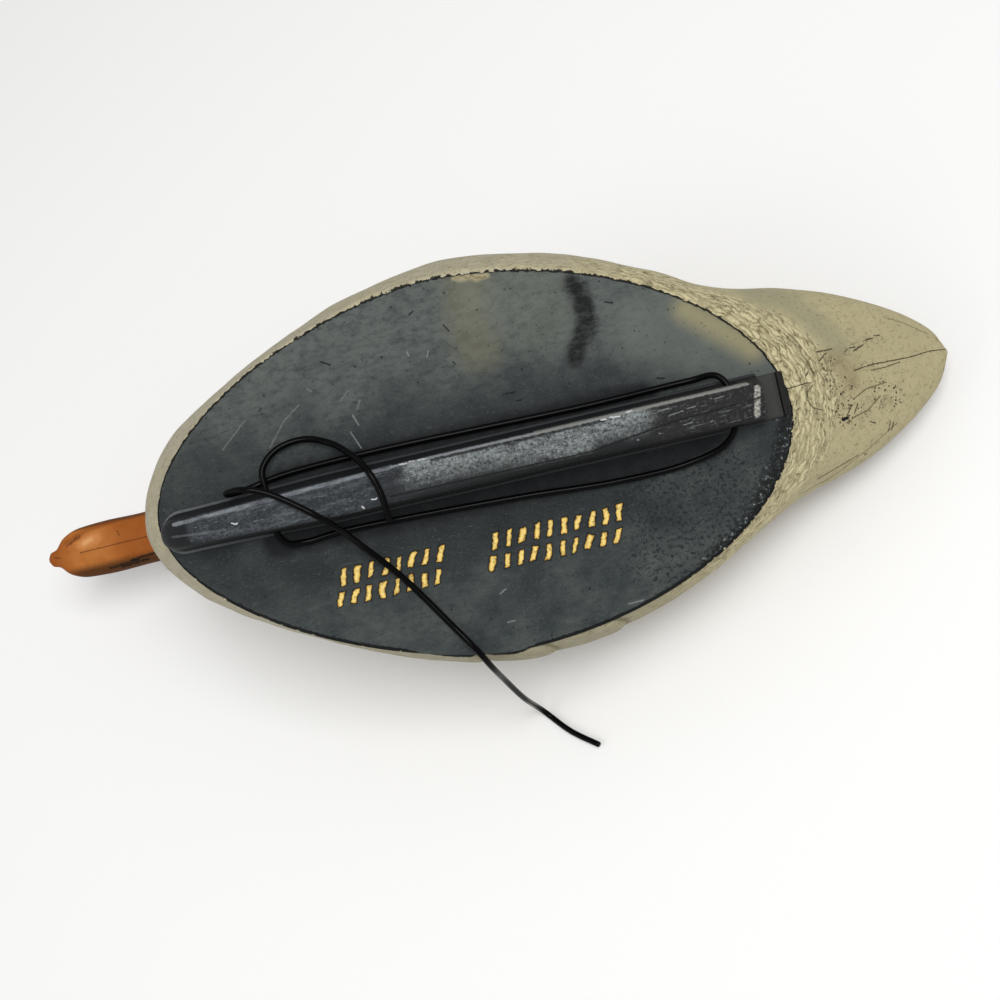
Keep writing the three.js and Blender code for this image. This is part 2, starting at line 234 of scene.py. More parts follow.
def skin_faces(rings, count):
    """Faces of a grid of rings: four corners between neighbours, and a fan to a pole at either
    end."""
    i, j = np.meshgrid(np.arange(rings - 1), np.arange(count), indexing="ij")
    k = (j + 1) % count
    sides = np.stack((i * count + j, i * count + k, (i + 1) * count + k, (i + 1) * count + j), -1)
    turn = np.arange(count)
    after = (turn + 1) % count
    first, last = rings * count, rings * count + 1
    end = (rings - 1) * count
    caps = [(first, b, a) for a, b in zip(turn.tolist(), after.tolist())]
    caps += [(last, end + a, end + b) for a, b in zip(turn.tolist(), after.tolist())]
    return sides.reshape(-1, 4).tolist() + caps


line_path = laid(smooth_route(np.array(LINE_ROUTE), LINE_STEPS))
across, up_of = carried_frames(line_path)
run = along_line(line_path)
near_cut = 1 - np.clip(np.minimum(run, run[-1] - run) / LINE_ROUNDING, 0, 1)
radius = LINE_THICK / 2 - LINE_ROUNDING * (1 - np.sqrt(np.clip(1 - near_cut ** 2, 0, 1)))
angle = np.linspace(0, 2 * np.pi, LINE_SIDES, endpoint=False)[:, None]
around = across[:, None] * np.cos(angle) + up_of[:, None] * np.sin(angle)
rings = line_path[:, None] + radius[:, None, None] * around
corners = np.vstack((rings.reshape(-1, 3), line_path[0], line_path[-1]))

vinyl, tree, surface = new_material("extruded_black_vinyl")
# Soft black vinyl is drawn through a die, so it is smooth and glossy. Its shine is faintly
# uneven, in patches of about 4 mm.
core = add(tree, "Attribute", {}, out=2, attribute_name="core")
where = add(tree, "TexCoord", {}, out=3)
drawn = add(tree, "TexNoise", {"Vector": where, "Scale": 260.0, "Detail": 3.0})
tint = add(tree, "Mix", {0: core, 6: srgb(LINE_BLACK), 7: srgb(LINE_CUT)}, out=2, data_type="RGBA")
rough = add(tree, "MapRange", {0: drawn, 1: 0.3, 2: 0.8, 3: 0.12, 4: 0.26})
tree.links.new(add(tree, "BsdfPrincipled", {"Base Color": tint, "Roughness": rough, "IOR": 1.53,
                                            "Specular IOR Level": 0.06}), surface)

line_faces = skin_faces(len(line_path), LINE_SIDES)
decoy_line = new_piece("line_of_black_vinyl", corners, line_faces, vinyl)
core_share = np.append(np.zeros(rings.shape[0] * LINE_SIDES), (1, 1))
decoy_line.data.attributes.new("core", "FLOAT", "POINT").data.foreach_set("value", core_share)
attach(decoy_line, "root")
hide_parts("decoy_line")


# Keel: a bar of black moulded plastic under the bottom, ballasted inside, with a thin foot all
# round, sloping walls, a round nose, and behind it a low pad and a tie bar that hold it down.
# Its free face is scuffed grey by boats and shingle, and two holes through it take the line.
KEEL_GAP = 0.3
KEEL_DEPTH = 21
KEEL_NOSE = 148.5
KEEL_NOSE_LENGTH = 10
KEEL_RAMP = 26
KEEL_REAR = -134.5
KEEL_TAPER_END = 60
KEEL_FOOT = (10.2, 12)
KEEL_FACE = (5.2, 7.2)
KEEL_FOOT_THICK = 2
KEEL_BEVEL = 1.8
PAD_END, SLOT_END, TIE_END = -143.6, -145.2, -148.2
PAD_HEIGHT, SLOT_HEIGHT, TIE_HEIGHT = 2.4, 1.1, 4.2
PAD_HALF = 10.4
HOLE_RADIUS = 3.6
HOLES = ((96.3, 6.2), (-121.7, 9.2))            # place along the bar and height above the bottom
HOLE_SIDES, DRILL_HALF = 40, 20
ROUND_STEPS = 4


def smooth_step(low, high, value):
    """Share from 0 at low to 1 at high, u * u * (3 - 2 u), in either direction."""
    u = np.clip((value - low) / (high - low), 0, 1)
    return u * u * (3 - 2 * u)


def swell(points, size, seed, octaves=3):
    """Smooth random field of about unit height: seven waves of roughly that size in seeded
    directions, and each octave of them half as long and half as high as the last."""
    dice = np.random.default_rng(seed)
    total = np.zeros(points.shape[:-1])
    for octave in range(octaves):
        for _ in range(7):
            direction = dice.normal(size=3)
            turns = 2 * np.pi * 2 ** octave / (size * np.linalg.norm(direction))
            direction *= turns * dice.uniform(0.7, 1.4)
            total += np.sin(points @ direction + dice.uniform(0, 2 * np.pi)) / 2 ** octave
    return total / 3.2


def rounded(corners, reach, steps):
    """Each corner of a profile becomes a short curve, the quadratic Bezier from reach before it to
    reach after it. corners is stations x corners x 2, reach is stations x corners."""
    before = np.roll(corners, 1, axis=1) - corners
    after = np.roll(corners, -1, axis=1) - corners
    room = 0.45 * np.minimum(np.linalg.norm(before, axis=-1), np.linalg.norm(after, axis=-1))
    pull = np.minimum(reach, room)[..., None]
    start = corners + before / (np.linalg.norm(before, axis=-1, keepdims=True) + 1e-9) * pull
    end = corners + after / (np.linalg.norm(after, axis=-1, keepdims=True) + 1e-9) * pull
    u = np.linspace(0, 1, steps + 1)[None, None, :, None]
    start, middle, end = start[:, :, None], corners[:, :, None], end[:, :, None]
    bend = (1 - u) ** 2 * start + 2 * u * (1 - u) * middle + u ** 2 * end
    return bend.reshape(len(corners), -1, 2)


def drilled(piece, tool, operation="DIFFERENCE"):
    """Cuts the tool's solid out of the piece, or joins it, for good, and removes the tool."""
    change = piece.modifiers.new("join", "BOOLEAN")
    change.operation = operation
    change.solver = "MANIFOLD"
    change.object = tool
    bpy.context.view_layer.update()
    changed = piece.evaluated_get(bpy.context.evaluated_depsgraph_get())
    baked = bpy.data.meshes.new_from_object(changed)
    piece.modifiers.clear()
    baked.name = piece.data.name
    piece.data = baked
    bpy.data.objects.remove(tool)


station = np.concatenate((
    (TIE_END, TIE_END + 0.15, TIE_END + 0.5, SLOT_END - 0.4, SLOT_END - 0.1, SLOT_END),
    (PAD_END, PAD_END + 0.1, PAD_END + 0.4),
    np.linspace(PAD_END + 1, KEEL_REAR - 2.2, 8),
    np.linspace(KEEL_REAR - 2, KEEL_REAR + 3, 14),
    np.linspace(KEEL_REAR + 3.5, KEEL_NOSE - KEEL_RAMP, 240)[:-1],
    KEEL_NOSE - KEEL_RAMP + KEEL_RAMP * 0.9995 * np.sin(np.linspace(0, np.pi / 2, 46)),
))
ahead_share = np.clip((station - KEEL_NOSE + KEEL_RAMP) / KEEL_RAMP, 0, 1)
ramp = 0.04 + 0.96 * np.sqrt(1 - ahead_share ** 2)
rear_at = (KEEL_REAR - 2, KEEL_REAR - 1.2, KEEL_REAR - 0.2, KEEL_REAR + 1.6)
rear_rise = np.interp(station, rear_at, (0, 0.3, 0.9, 1))
rear_rise = np.where(station > KEEL_REAR - 2, rear_rise, 0)
nose_share = np.clip((station - KEEL_NOSE + KEEL_NOSE_LENGTH) / KEEL_NOSE_LENGTH, 0, 1)
nose = np.sqrt(np.maximum(1 - nose_share ** 2, 0.0004))
full = smooth_step(KEEL_NOSE - KEEL_NOSE_LENGTH, KEEL_TAPER_END, station)
foot = (KEEL_FOOT[0] + (KEEL_FOOT[1] - KEEL_FOOT[0]) * full) * nose
face = (KEEL_FACE[0] + (KEEL_FACE[1] - KEEL_FACE[0]) * full) * nose
depth = PAD_HEIGHT + (KEEL_DEPTH - PAD_HEIGHT) * np.minimum(ramp, rear_rise)
low_end = station < KEEL_REAR - 1.99
steps_at = (TIE_END, TIE_END + 0.15, TIE_END + 0.5, SLOT_END - 0.1,
            SLOT_END, PAD_END, PAD_END + 0.1)
step_heights = (TIE_HEIGHT * 0.7, TIE_HEIGHT * 0.94, TIE_HEIGHT, TIE_HEIGHT,
                SLOT_HEIGHT, SLOT_HEIGHT, PAD_HEIGHT)
depth = np.where(low_end, KEEL_GAP + np.interp(station, steps_at, step_heights), depth)
foot = np.where(low_end, PAD_HALF, foot)
face = np.where(low_end, PAD_HALF * 0.9, face)
thin = np.minimum(KEEL_FOOT_THICK, depth * 0.5)
bevel = np.minimum(KEEL_BEVEL, depth * 0.25)
waist = np.minimum(foot - 0.6 * np.minimum(foot / 3, 1), face + (foot - face) * 0.75)
top = np.full_like(station, -KEEL_GAP)
left = np.stack((
    np.stack((foot, top), -1),
    np.stack((foot, top - thin), -1),
    np.stack((waist, top - thin), -1),
    np.stack((face + bevel * 0.8, -depth + bevel), -1),
    np.stack((face, -depth), -1),
), axis=1)
outline = np.concatenate((left, left[:, ::-1] * (-1, 1)), axis=1)[:, ::-1]
reach = np.array((0.2, 0.5, 0.5, 0.9, 1.1))
reach = np.concatenate((reach, reach[::-1]))[::-1]
profile = rounded(outline, np.broadcast_to(reach, outline.shape[:2]), ROUND_STEPS)
along = np.broadcast_to(station[:, None, None], profile.shape[:2] + (1,))
bar = np.concatenate((along, profile), axis=-1)
# the old moulding is a little wavy, and its free face is worn hollow in places
FACE_WAVE, FACE_DENT, FACE_MOST, WALL_WAVE = 0.16, 0.06, 0.25, 0.12
wear = swell(bar, 38, seed=5) * FACE_WAVE + swell(bar, 7, seed=6, octaves=2) * FACE_DENT
deep = depth[:, None] > 8
on_face = smooth_step(0.55, 0.95, -bar[..., 2] / np.maximum(depth[:, None], 1)) * deep
bar[..., 2] += np.maximum(wear, -FACE_MOST) * on_face
bar[..., 1] += swell(bar, 60, seed=7, octaves=1) * WALL_WAVE * np.sign(bar[..., 1]) * deep
poles = np.stack((bar[0].mean(axis=0), bar[-1].mean(axis=0)))
corners = np.vstack((bar.reshape(-1, 3), poles))

# where the bar is rubbed, nicked and lined, and where highlights are painted along its lit corners
# and rear end, as points (x, y) on its free face. Beside the painted highlight of the upper corner
# runs a dark line.
FACE_CORNER_HIGHLIGHT = ((37, 8.0), (18, 8.2), (-30, 8.1))
REAR_CORNER_HIGHLIGHT = ((-30, 8.2), (-55, 8.2), (-128, 8.3))
NOSE_CORNER_SCUFF_AND_HIGHLIGHT = ((139, 4.6), (91, 6.1), (60, 7.1), (37, 8.0))
FACE_LINE = ((40, -4.9), (-52, -5.7), (-90, -1.0), (-121, 0.3))
NOSE_LINE = ((141, -0.7), (116, -2.8))
SCUFFED = ((26, 1.4), (4, 0.7), (-50, 1.0)), ((-50, 2.0), (-78, 4.0))
DARK_CORNER_LINE = ((18, 7.0), (-30, 6.7), (-62, 6.7))
END_SCUFF_AND_HIGHLIGHT = ((-131.8, 5.4), (-129.2, -6.2))
END_CUT = ((-126.5, 0.2), (-134, 1.4))
NICKS = (
    ((112.6, -0.4), (111.2, -1.2), (110, -1)), ((48.6, -4.2), (47.6, -4.7), (46.4, -4.4)),
    ((53.6, -6.6), (53, -7.4)), ((33, 8.2), (30, 8.0)), ((28.6, 8.5), (26.4, 8.3)),
    ((24.6, 8.2), (20.8, 8.1)), ((-60, 7.2), (-62.4, 7.0)), ((-64.4, 7.5), (-68.6, 6.9)),
    ((-72, 8.0), (-74.8, 8.3)),
)
FAINT_NICKS = (
    ((-86, 5.2), (-91, 5.5)), ((-99, 3.4), (-103, 3.7)), ((-96, -3.4), (-100, -3.1)),
    ((-84, -4.6), (-85, -4.7)), ((-112, 4.8), (-116, 5.2)), ((-90, 2.2), (-97, 2.9)),
    ((-108, -4.6), (-109, -4.4)), ((-74, -5.2), (-74.6, -5.3)),
)


def nearness(tree, flat, lines, reach, fade, most=1.0):
    """How near the surface is to any of the lines, each through points (x, y) of the duck's frame
    as seen square to the bottom: most within reach of a line, falling to 0 at reach + fade."""
    least = None
    for line in lines:
        for (ax, ay), (bx, by) in zip(line, line[1:]):
            stretch = np.array((bx - ax, by - ay, 0))
            weight = stretch / (stretch @ stretch)
            start = add(tree, "VectorMath", {0: flat, 1: (ax, ay, 0)}, operation="SUBTRACT")
            share = add(tree, "VectorMath", {0: start, 1: weight.tolist()}, out=1,
                        operation="DOT_PRODUCT")
            share = add(tree, "Clamp", {0: share})
            foot = add(tree, "VectorMath", {0: stretch.tolist(), 3: share}, operation="SCALE")
            gap = add(tree, "VectorMath", {0: start, 1: foot}, out=1, operation="DISTANCE")
            if least is not None:
                gap = add(tree, "Math", {0: least, 1: gap}, operation="MINIMUM")
            least = gap
    return add(tree, "MapRange", {0: least, 1: reach, 2: reach + fade, 3: most, 4: 0.0},
               interpolation_type="SMOOTHSTEP")


def spread(tree, *parts):
    """How far a finish spreads: the product of its parts. A part is a link, or a pattern with the
    ends of a slope, (pattern, from, to, share at from, share at to), level beyond both ends."""
    whole = None
    for part in parts:
        if isinstance(part, tuple):
            part = add(tree, "MapRange", dict(enumerate(part)))
        if whole is not None:
            part = add(tree, "Math", {0: whole, 1: part}, operation="MULTIPLY")
        whole = part
    return whole


def coats(tree, ground, rows):
    """Coats of colour laid one over another. A row has the parts of a coat's spread, then its
    colour, which is hex or a link."""
    for *parts, colour in rows:
        colour = srgb(colour) if isinstance(colour, str) else colour
        laid_on = {0: spread(tree, *parts), 6: ground, 7: colour}
        ground = add(tree, "Mix", laid_on, out=2, data_type="RGBA")
    return ground


def shaky(tree, at, size, reach):
    """The place seen square to the bottom, shaken by noise of that size and reach, for edges made
    by hand or by wear."""
    noise = add(tree, "TexNoise", {"Vector": at, "Scale": 1 / size, "Detail": 2.0}, out=1)
    shake = add(tree, "VectorMath", {0: noise, 1: (0.5, 0.5, 0.5)}, operation="SUBTRACT")
    moved = add(tree, "VectorMath", {0: shake, 1: (reach, reach, 0), 2: at},
                operation="MULTIPLY_ADD")
    return add(tree, "VectorMath", {0: moved, 1: (1, 1, 0)}, operation="MULTIPLY")


bar_plastic, tree, surface = new_material("black_moulded_polyethylene_scuffed")
# Moulded polyethylene with carbon black: dull and near black where it is not rubbed. Rubbing raises
# a pale grey bloom along the free face, in drag lines and blots of 1 to 5 mm, with black pits
# between. Shade is painted at the root of the bar against the bottom, and highlights along its
# foot, corners and rear end.
at = add(tree, "Attribute", {}, out=1, attribute_name="duck")
below = add(tree, "Attribute", {}, out=2, attribute_name="below")
x, z = (add(tree, "SeparateXYZ", {0: at}, out=i) for i in (0, 2))
fine = shaky(tree, at, 1.3, 0.9)
dragged = add(tree, "Mapping", {"Vector": at, "Scale": (0.3, 1.0, 1.0)})
drawn_out = add(tree, "Mapping", {"Vector": at, "Scale": (0.12, 1.0, 1.0)})
# place, size in millimetres, detail and roughness of each
cloud, smear, grit, drag = (
    add(tree, "TexNoise",
        {"Vector": place, "Scale": 1 / size, "Detail": detail, "Roughness": rough})
    for place, size, detail, rough in (
        (at, 12, 5.0, 0.65), (dragged, 3.2, 5.0, 0.75),
        (at, 1.5, 4.0, 0.8), (drawn_out, 0.9, 3.0, 0.6)))
face_share, fore, rearward = (
    add(tree, "MapRange", dict(enumerate(slope)), interpolation_type="SMOOTHSTEP") for slope in (
        (z, -19.0, -20.4), (x, 0.0, 70.0, 0.0, 0.9), (x, -72.0, -92.0, 0.0, 0.8)))
open_face = add(tree, "Math", {0: face_share, 1: below}, operation="SUBTRACT", use_clamp=True)
zone = spread(tree, nearness(tree, shaky(tree, at, 8, 9), SCUFFED, 3.4, 6.0), open_face)
rubbed_at = add(tree, "Math", {0: grit, 1: 1.2, 2: smear}, operation="MULTIPLY_ADD")
fore = spread(tree, fore, face_share)
foot_shade_and_highlight_at = add(tree, "Math", {0: grit, 1: 1.6, 2: z}, operation="MULTIPLY_ADD")
tint = coats(tree, srgb("#0c0d0e"), (
    (cloud, "#1d1f21"),
    (fore, "#2b2f33"),
    ((smear, 0.46, 0.64, 0.0, 0.6), fore, "#595f64"),
    (zone, (rubbed_at, 0.9, 1.28, 0.15, 1.0), "#8f9695"),
    (zone, (grit, 0.56, 0.66, 0.0, 0.8), "#acb2b1"),
    (nearness(tree, fine, (DARK_CORNER_LINE,), 0.3, 0.7, 0.85), "#0b0c0d"),
    (rearward, "#1f1e1d"),
    (open_face, (drag, 0.6, 0.68, 0.0, 0.6), "#6f7476"),
    (open_face, (grit, 0.56, 0.66, 0.0, 0.48), "#6c7073"),
    (open_face, (grit, 0.36, 0.46, 0.9, 0.0), "#08090a"),
    (nearness(tree, fine, (NOSE_LINE,), 0.2, 0.5, 0.5), "#5d6166"),
    (nearness(tree, fine, (FACE_LINE,), 0.15, 0.5, 0.95), "#040505"),
    # painted highlights along the lit upper corner of the face; at the nose they are scuffed as
    # well
    (nearness(tree, fine, (NOSE_CORNER_SCUFF_AND_HIGHLIGHT,), 0.45, 0.8, 0.9), (smear, 0.35, 0.6, 0.2, 1.0), "#7f848a"),
    (nearness(tree, fine, (FACE_CORNER_HIGHLIGHT,), 0.2, 0.7, 0.95), "#83868a"),
    (nearness(tree, fine, (REAR_CORNER_HIGHLIGHT,), 0.35, 0.75, 0.95), "#868783"),
    # painted shade at the root of the bar against the bottom, then a painted highlight along its
    # foot, mostly at the nose
    ((foot_shade_and_highlight_at, -5.4, -2.6, 0.0, 0.9), "#060707"),
    ((foot_shade_and_highlight_at, -2.4, -1.4, 0.0, 0.7), (x, 90.0, 140.0, 0.2, 1.0), "#6e7276"),
    # pale scuffs and a painted highlight across the rear end
    (nearness(tree, fine, (END_SCUFF_AND_HIGHLIGHT,), 0.8, 1.0, 0.95), (grit, 0.4, 0.56, 0.2, 1.0), "#b3b0a8"),
    (nearness(tree, fine, (END_CUT,), 0.2, 0.5, 0.9), "#101112"),
    (nearness(tree, fine, FAINT_NICKS, 0.02, 0.4, 0.6), "#8b9091"),
    (nearness(tree, fine, NICKS, 0.12, 0.35), "#c3c6c8"),
    ((x, KEEL_REAR - 1.5, KEEL_REAR - 2.1, 0.0, 0.85), "#3f3e3d"),
    ((x, SLOT_END + 0.2, SLOT_END - 0.1, 0.0, 0.9), "#141312"),
))
rough = add(tree, "MapRange", {0: grit, 1: 0.3, 2: 0.7, 3: 0.52, 4: 0.75})
height = add(tree, "Math", {0: smear, 1: grit}, operation="ADD")
bump = add(tree, "Bump", {"Strength": 0.7, "Distance": 0.0005, "Height": height})
tree.links.new(add(tree, "BsdfPrincipled", {"Base Color": tint, "Roughness": rough, "IOR": 1.5,
                                            "Specular IOR Level": 0.22, "Normal": bump}), surface)

keel = new_piece("keel_bar", laid(corners), skin_faces(*bar.shape[:2]), bar_plastic)
angle = np.linspace(0, 2 * np.pi, HOLE_SIDES, endpoint=False)
cos, sin = HOLE_RADIUS * np.cos(angle), HOLE_RADIUS * np.sin(angle)
for place, height in HOLES:
    rim = np.stack((place + cos, 0 * angle, sin - height), -1)
    rod = np.stack((rim + (0, DRILL_HALF, 0), rim - (0, DRILL_HALF, 0)))
    corners = np.vstack((rod.reshape(-1, 3), rod.mean(axis=1)))
    drilled(keel, new_piece("drill", laid(corners), skin_faces(2, HOLE_SIDES), bar_plastic))


def shade_smooth(piece, degrees):
    """Smooth faces, with a hard line left wherever neighbours meet at more than that angle."""
    piece.data.polygons.foreach_set("use_smooth", np.ones(len(piece.data.polygons), bool))
    piece.data.set_sharp_from_angle(angle=math.radians(degrees))


def own_places(piece):
    """Each corner's place in the duck's own frame, in millimetres."""
    corners = np.empty(len(piece.data.vertices) * 3, np.float32)
    piece.data.vertices.foreach_get("co", corners)
    return stood(corners.reshape(-1, 3))


def keep_duck_frame(piece):
    """Stores those places for the patterns, and gives them back."""
    own = own_places(piece)
    duck = piece.data.attributes.new("duck", "FLOAT_VECTOR", "POINT")
    duck.data.foreach_set("vector", own.ravel())
    return own


def set_share(mesh, name, values):
    """Stores one number for each corner, for the material to read."""
    mesh.attributes.new(name, "FLOAT", "POINT").data.foreach_set("value", values.astype(np.float32))


shade_smooth(keel, 50)
own = keep_duck_frame(keel)
line_x, line_y = np.array(FACE_LINE)[::-1].T
below_line = smooth_step(0, 1, np.interp(own[:, 0], line_x, line_y) - own[:, 1])
below_line = below_line * smooth_step(60, 36, own[:, 0]) * smooth_step(-120, -60, own[:, 0])
set_share(keel.data, "below", below_line)
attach(keel, "root")
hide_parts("keel")


# Decoy body: one hollow moulding of tan polyethylene, two halves joined along a seam, with head
# and bill in one with it. The flat bottom has been painted slate grey by hand, up to its edge.
BOTTOM_REACH = 150
BOTTOM_HALF = 88.8
BOTTOM_FRONT = (1.57, 1.8)
BOTTOM_REAR = (1.9, 1.9)
SHELL_WARP, SHELL_SHIFT = 0.033, -0.5
BREAST_X, TAIL_X = 165.5, -245.5
# station, half beam, height of the beam, height of the underside, height of the back
BODY_LINES = np.array((
    (-245.5, 0.8, 56, 55, 57.5), (-240, 11.5, 55, 50.5, 60.5), (-230, 21.2, 53.5, 45, 63.5),
    (-215, 31, 51, 37, 68), (-195, 41, 48, 27, 75.5), (-172, 48.6, 45, 14, 84),
    (-150, 54.4, 43, 0, 92), (-130, 61.6, 41.5, 0, 98.5), (-100, 76.6, 40, 0, 106),
    (-60, 91.8, 40, 0, 112), (-10, 99.4, 40, 0, 115), (40, 91.2, 41, 0, 113),
    (80, 75.6, 43, 0, 108), (120, 55.4, 46, 0, 95.5), (140, 43.2, 48, 0, 83),
    (150, 33.8, 49, 2, 74.5), (158, 22.8, 50, 12, 66.5), (163.5, 9.4, 50, 33, 58.5),
    (165.5, 0.8, 50, 48.5, 51.5),
))
DRIFT = np.array((
    (-245.5, 0.2), (-200, -0.6), (-160, -0.2), (-125, -2.6), (0, 0.9), (80, 3), (125, 4.2),
    (150, 4.6), (165.5, 2),
))
FULLNESS = np.array((
    (-245.5, 0.1), (-150, 0.14), (-115, 0.4), (125, 0.4), (150, 0.3), (165.5, 0.1),
))
WING_FRONT, WING_TIP, WING_RAISE = 78, -178, 5
WING_EDGE = (0.3, 0.36)
WING_GROOVE = 0.9
# centre x and z, lean, half width, half depth and squareness of the neck, head and bill
HEAD_LINES = np.array((
    (80, 72, 0, 42, 46, 2), (84, 96, 2, 34.5, 41, 2), (91, 112, 8, 27, 33, 2),
    (100, 128, 24, 23.5, 29.5, 2), (113, 143.5, 52, 25, 29.5, 2),
    (131, 151.5, 80, 27.6, 27.8, 2.1), (148, 152.5, 92, 27.2, 26.4, 2.1),
    (162, 150.5, 98, 23.4, 22.6, 2.1), (172, 147.5, 101, 18, 17.4, 2.2),
    (180, 145, 102, 15.2, 13.8, 2.5), (192, 142.4, 103, 14.6, 10.8, 2.6),
    (208, 139.6, 103, 15, 8, 2.6), (225, 137, 102, 14.1, 6.2, 2.6),
    (234.5, 135.4, 100, 10.5, 5.2, 2.4), (239.6, 134.4, 98, 5.0, 4.2, 2.2),
    (242.7, 133.6, 96, 3.8, 3, 2), (244.2, 133.2, 96, 1.2, 1, 2),
))
HEAD_TURN, HEAD_UNEVEN = -2.3, 0.22
EYE = (153, 22.6, 163)
EYE_RADIUS, PUPIL_RADIUS = 5.4, 3.0
EYE_OUT = 0.36
EYE_RINGS, EYE_SIDES = 18, 36
BODY_STATIONS, BOTTOM_STEPS, FLANK_STEPS, BACK_STEPS = 380, 12, 46, 50
HEAD_RINGS, HEAD_SIDES = 130, 84


def fair_curve(stations, values, at):
    """Monotone cubic through the values: each slope is the weighted harmonic mean of its two
    neighbours', nought where they turn, and a cubic joins one station to the next."""
    gap = np.diff(stations)
    grade = np.diff(values) / gap
    before, after = gap[:-1], gap[1:]
    a = (2 * after + before) / (3 * (after + before))
    b = (after + 2 * before) / (3 * (after + before))
    turns = grade[:-1] * grade[1:] <= 0
    safe = np.where(turns, 1, grade[:-1]), np.where(turns, 1, grade[1:])
    inner = np.where(turns, 0, 1 / (a / safe[0] + b / safe[1]))
    slope = np.concatenate((grade[:1], inner, grade[-1:]))
    at = np.clip(at, stations[0], stations[-1])
    i = np.clip(np.searchsorted(stations, at, side="right") - 1, 0, len(gap) - 1)
    u = (at - stations[i]) / gap[i]
    rise = values[i + 1] - values[i]
    start, end = slope[i] * gap[i], slope[i + 1] * gap[i]
    return values[i] + u * (start + u * (3 * rise - 2 * start - end + u * (start + end - 2 * rise)))


def bottom_half(x):
    """Half width of the flat bottom: half (1 - (|x| / reach) ^ p) ^ (1 / q), with p and q set fore
    and aft."""
    share = np.minimum(np.abs(x) / BOTTOM_REACH, 1)
    power = np.where(x > 0, BOTTOM_FRONT[0], BOTTOM_REAR[0])
    root = np.where(x > 0, BOTTOM_FRONT[1], BOTTOM_REAR[1])
    return BOTTOM_HALF * np.maximum(1 - share ** power, 0) ** (1 / root)


def wing_raise(x, climb):
    """Raise of the folded wing: a plateau aft of its front and above its lower edge, less the
    furrow between the two wings."""
    along = np.clip((WING_FRONT - x) / (WING_FRONT - WING_TIP), 0, 1)
    edge = WING_EDGE[0] + WING_EDGE[1] * along ** 2
    ends = smooth_step(0, 0.12, along) * smooth_step(1, 0.9, along)
    furrow = 1 - smooth_step(WING_GROOVE, 1, climb) * smooth_step(0.25, 0.5, along)
    return WING_RAISE * ends * furrow * smooth_step(edge - 0.05, edge + 0.05, climb)


def body_skin(x):
    """Rings of the body at the stations x: across the bottom, out along the flank as a quadratic,
    and over the back as a quarter of a squarish ellipse, then the same mirrored."""
    x = x[:, None]
    stations = BODY_LINES[:, 0]
    beam, mid, low, high = (fair_curve(stations, BODY_LINES[:, i], x) for i in (1, 2, 3, 4))
    wide = np.maximum(bottom_half(x), np.minimum(1, beam * 0.3))
    full = fair_curve(FULLNESS[:, 0], FULLNESS[:, 1], x)
    across = np.linspace(0, 1, BOTTOM_STEPS + 1)[None]
    u = np.linspace(0, 1, FLANK_STEPS + 1)[None, 1:]
    climb = np.linspace(0, 1, BACK_STEPS + 1)[None, 1:]
    angle = climb * np.pi / 2
    lift = wing_raise(x, climb)
    y = np.hstack((
        wide * across,
        wide + (beam - wide) * (1 - (1 - u) ** 2),
        (beam + lift * 0.6) * np.maximum(np.cos(angle), 0) ** 0.9,
    ))
    z = np.hstack((
        low + 0 * across,
        low + (mid - low) * (2 * u * (1 - u) * full + u * u),
        mid + (high - mid) * np.sin(angle) ** 0.95 + lift * np.sin(angle),
    ))
    on_bottom = (np.arange(y.shape[1]) <= BOTTOM_STEPS) & (np.abs(x) < BOTTOM_REACH)
    off = np.where(on_bottom, SHELL_WARP * x + SHELL_SHIFT, fair_curve(DRIFT[:, 0], DRIFT[:, 1], x))
    left = np.stack((x + 0 * y, y + off, z), -1)
    right = np.stack((x + 0 * y, off - y, z), -1)[:, -2:0:-1]
    return np.concatenate((left, right), axis=1)


def outward(rings):
    """Unit normals of a closed skin: the cross product of its two grid directions."""
    along = np.gradient(rings, axis=0)
    around = np.roll(rings, -1, axis=1) - np.roll(rings, 1, axis=1)
    normal = np.cross(around, along)
    return normal / (np.linalg.norm(normal, axis=-1, keepdims=True) + 1e-12)


def scales(u, v):
    """Height of overlapping round scales, 0 under a tip to 1 on it: rows one unit apart along u,
    each shifted half a scale along v, with tips at 1 - 2.2 dv^2."""
    row = np.floor(u)
    share = u - row
    dv = (v + 0.5 * np.mod(row, 2)) % 1 - 0.5
    return np.where(share < 1 - 2.2 * dv ** 2, (share + 1) / 2, share / 2)


def grid_mean(rings):
    """Mean of each point's four neighbours on the grid."""
    along = np.roll(rings, 1, axis=0) + np.roll(rings, -1, axis=0)
    return (along + np.roll(rings, 1, axis=1) + np.roll(rings, -1, axis=1)) / 4


def rim_of_bottom(count):
    """Points round the edge of the flat bottom, and the length along the edge up to each."""
    angle = np.linspace(0, 2 * np.pi, count, endpoint=False)
    x = BOTTOM_REACH * np.cos(angle)
    y = np.sign(np.sin(angle)) * bottom_half(x) + SHELL_WARP * x + SHELL_SHIFT
    points = np.stack((x, y, fair_curve(BODY_LINES[:, 0], BODY_LINES[:, 3], x)), -1)
    return points, along_line(points)


def from_rim(points):
    """Distance from each point to the nearest one of the bottom's rim, and where along the rim
    that is."""
    rim, length = rim_of_bottom(900)
    gaps, places = [], []
    for block in np.array_split(points.reshape(-1, 3), max(points.size // 2400, 1)):
        gap = np.sqrt(((block[:, None] - rim[None]) ** 2).sum(-1))
        gaps.append(gap.min(axis=1))
        places.append(length[gap.argmin(axis=1)])
    shape = points.shape[:-1]
    return np.concatenate(gaps).reshape(shape), np.concatenate(places).reshape(shape)


turn = np.linspace(0, np.pi, BODY_STATIONS + 1)
body = body_skin((BREAST_X + TAIL_X) / 2 - (BREAST_X - TAIL_X) / 2 * np.cos(turn))
column = np.arange(body.shape[1])
column = np.minimum(column, body.shape[1] - column)

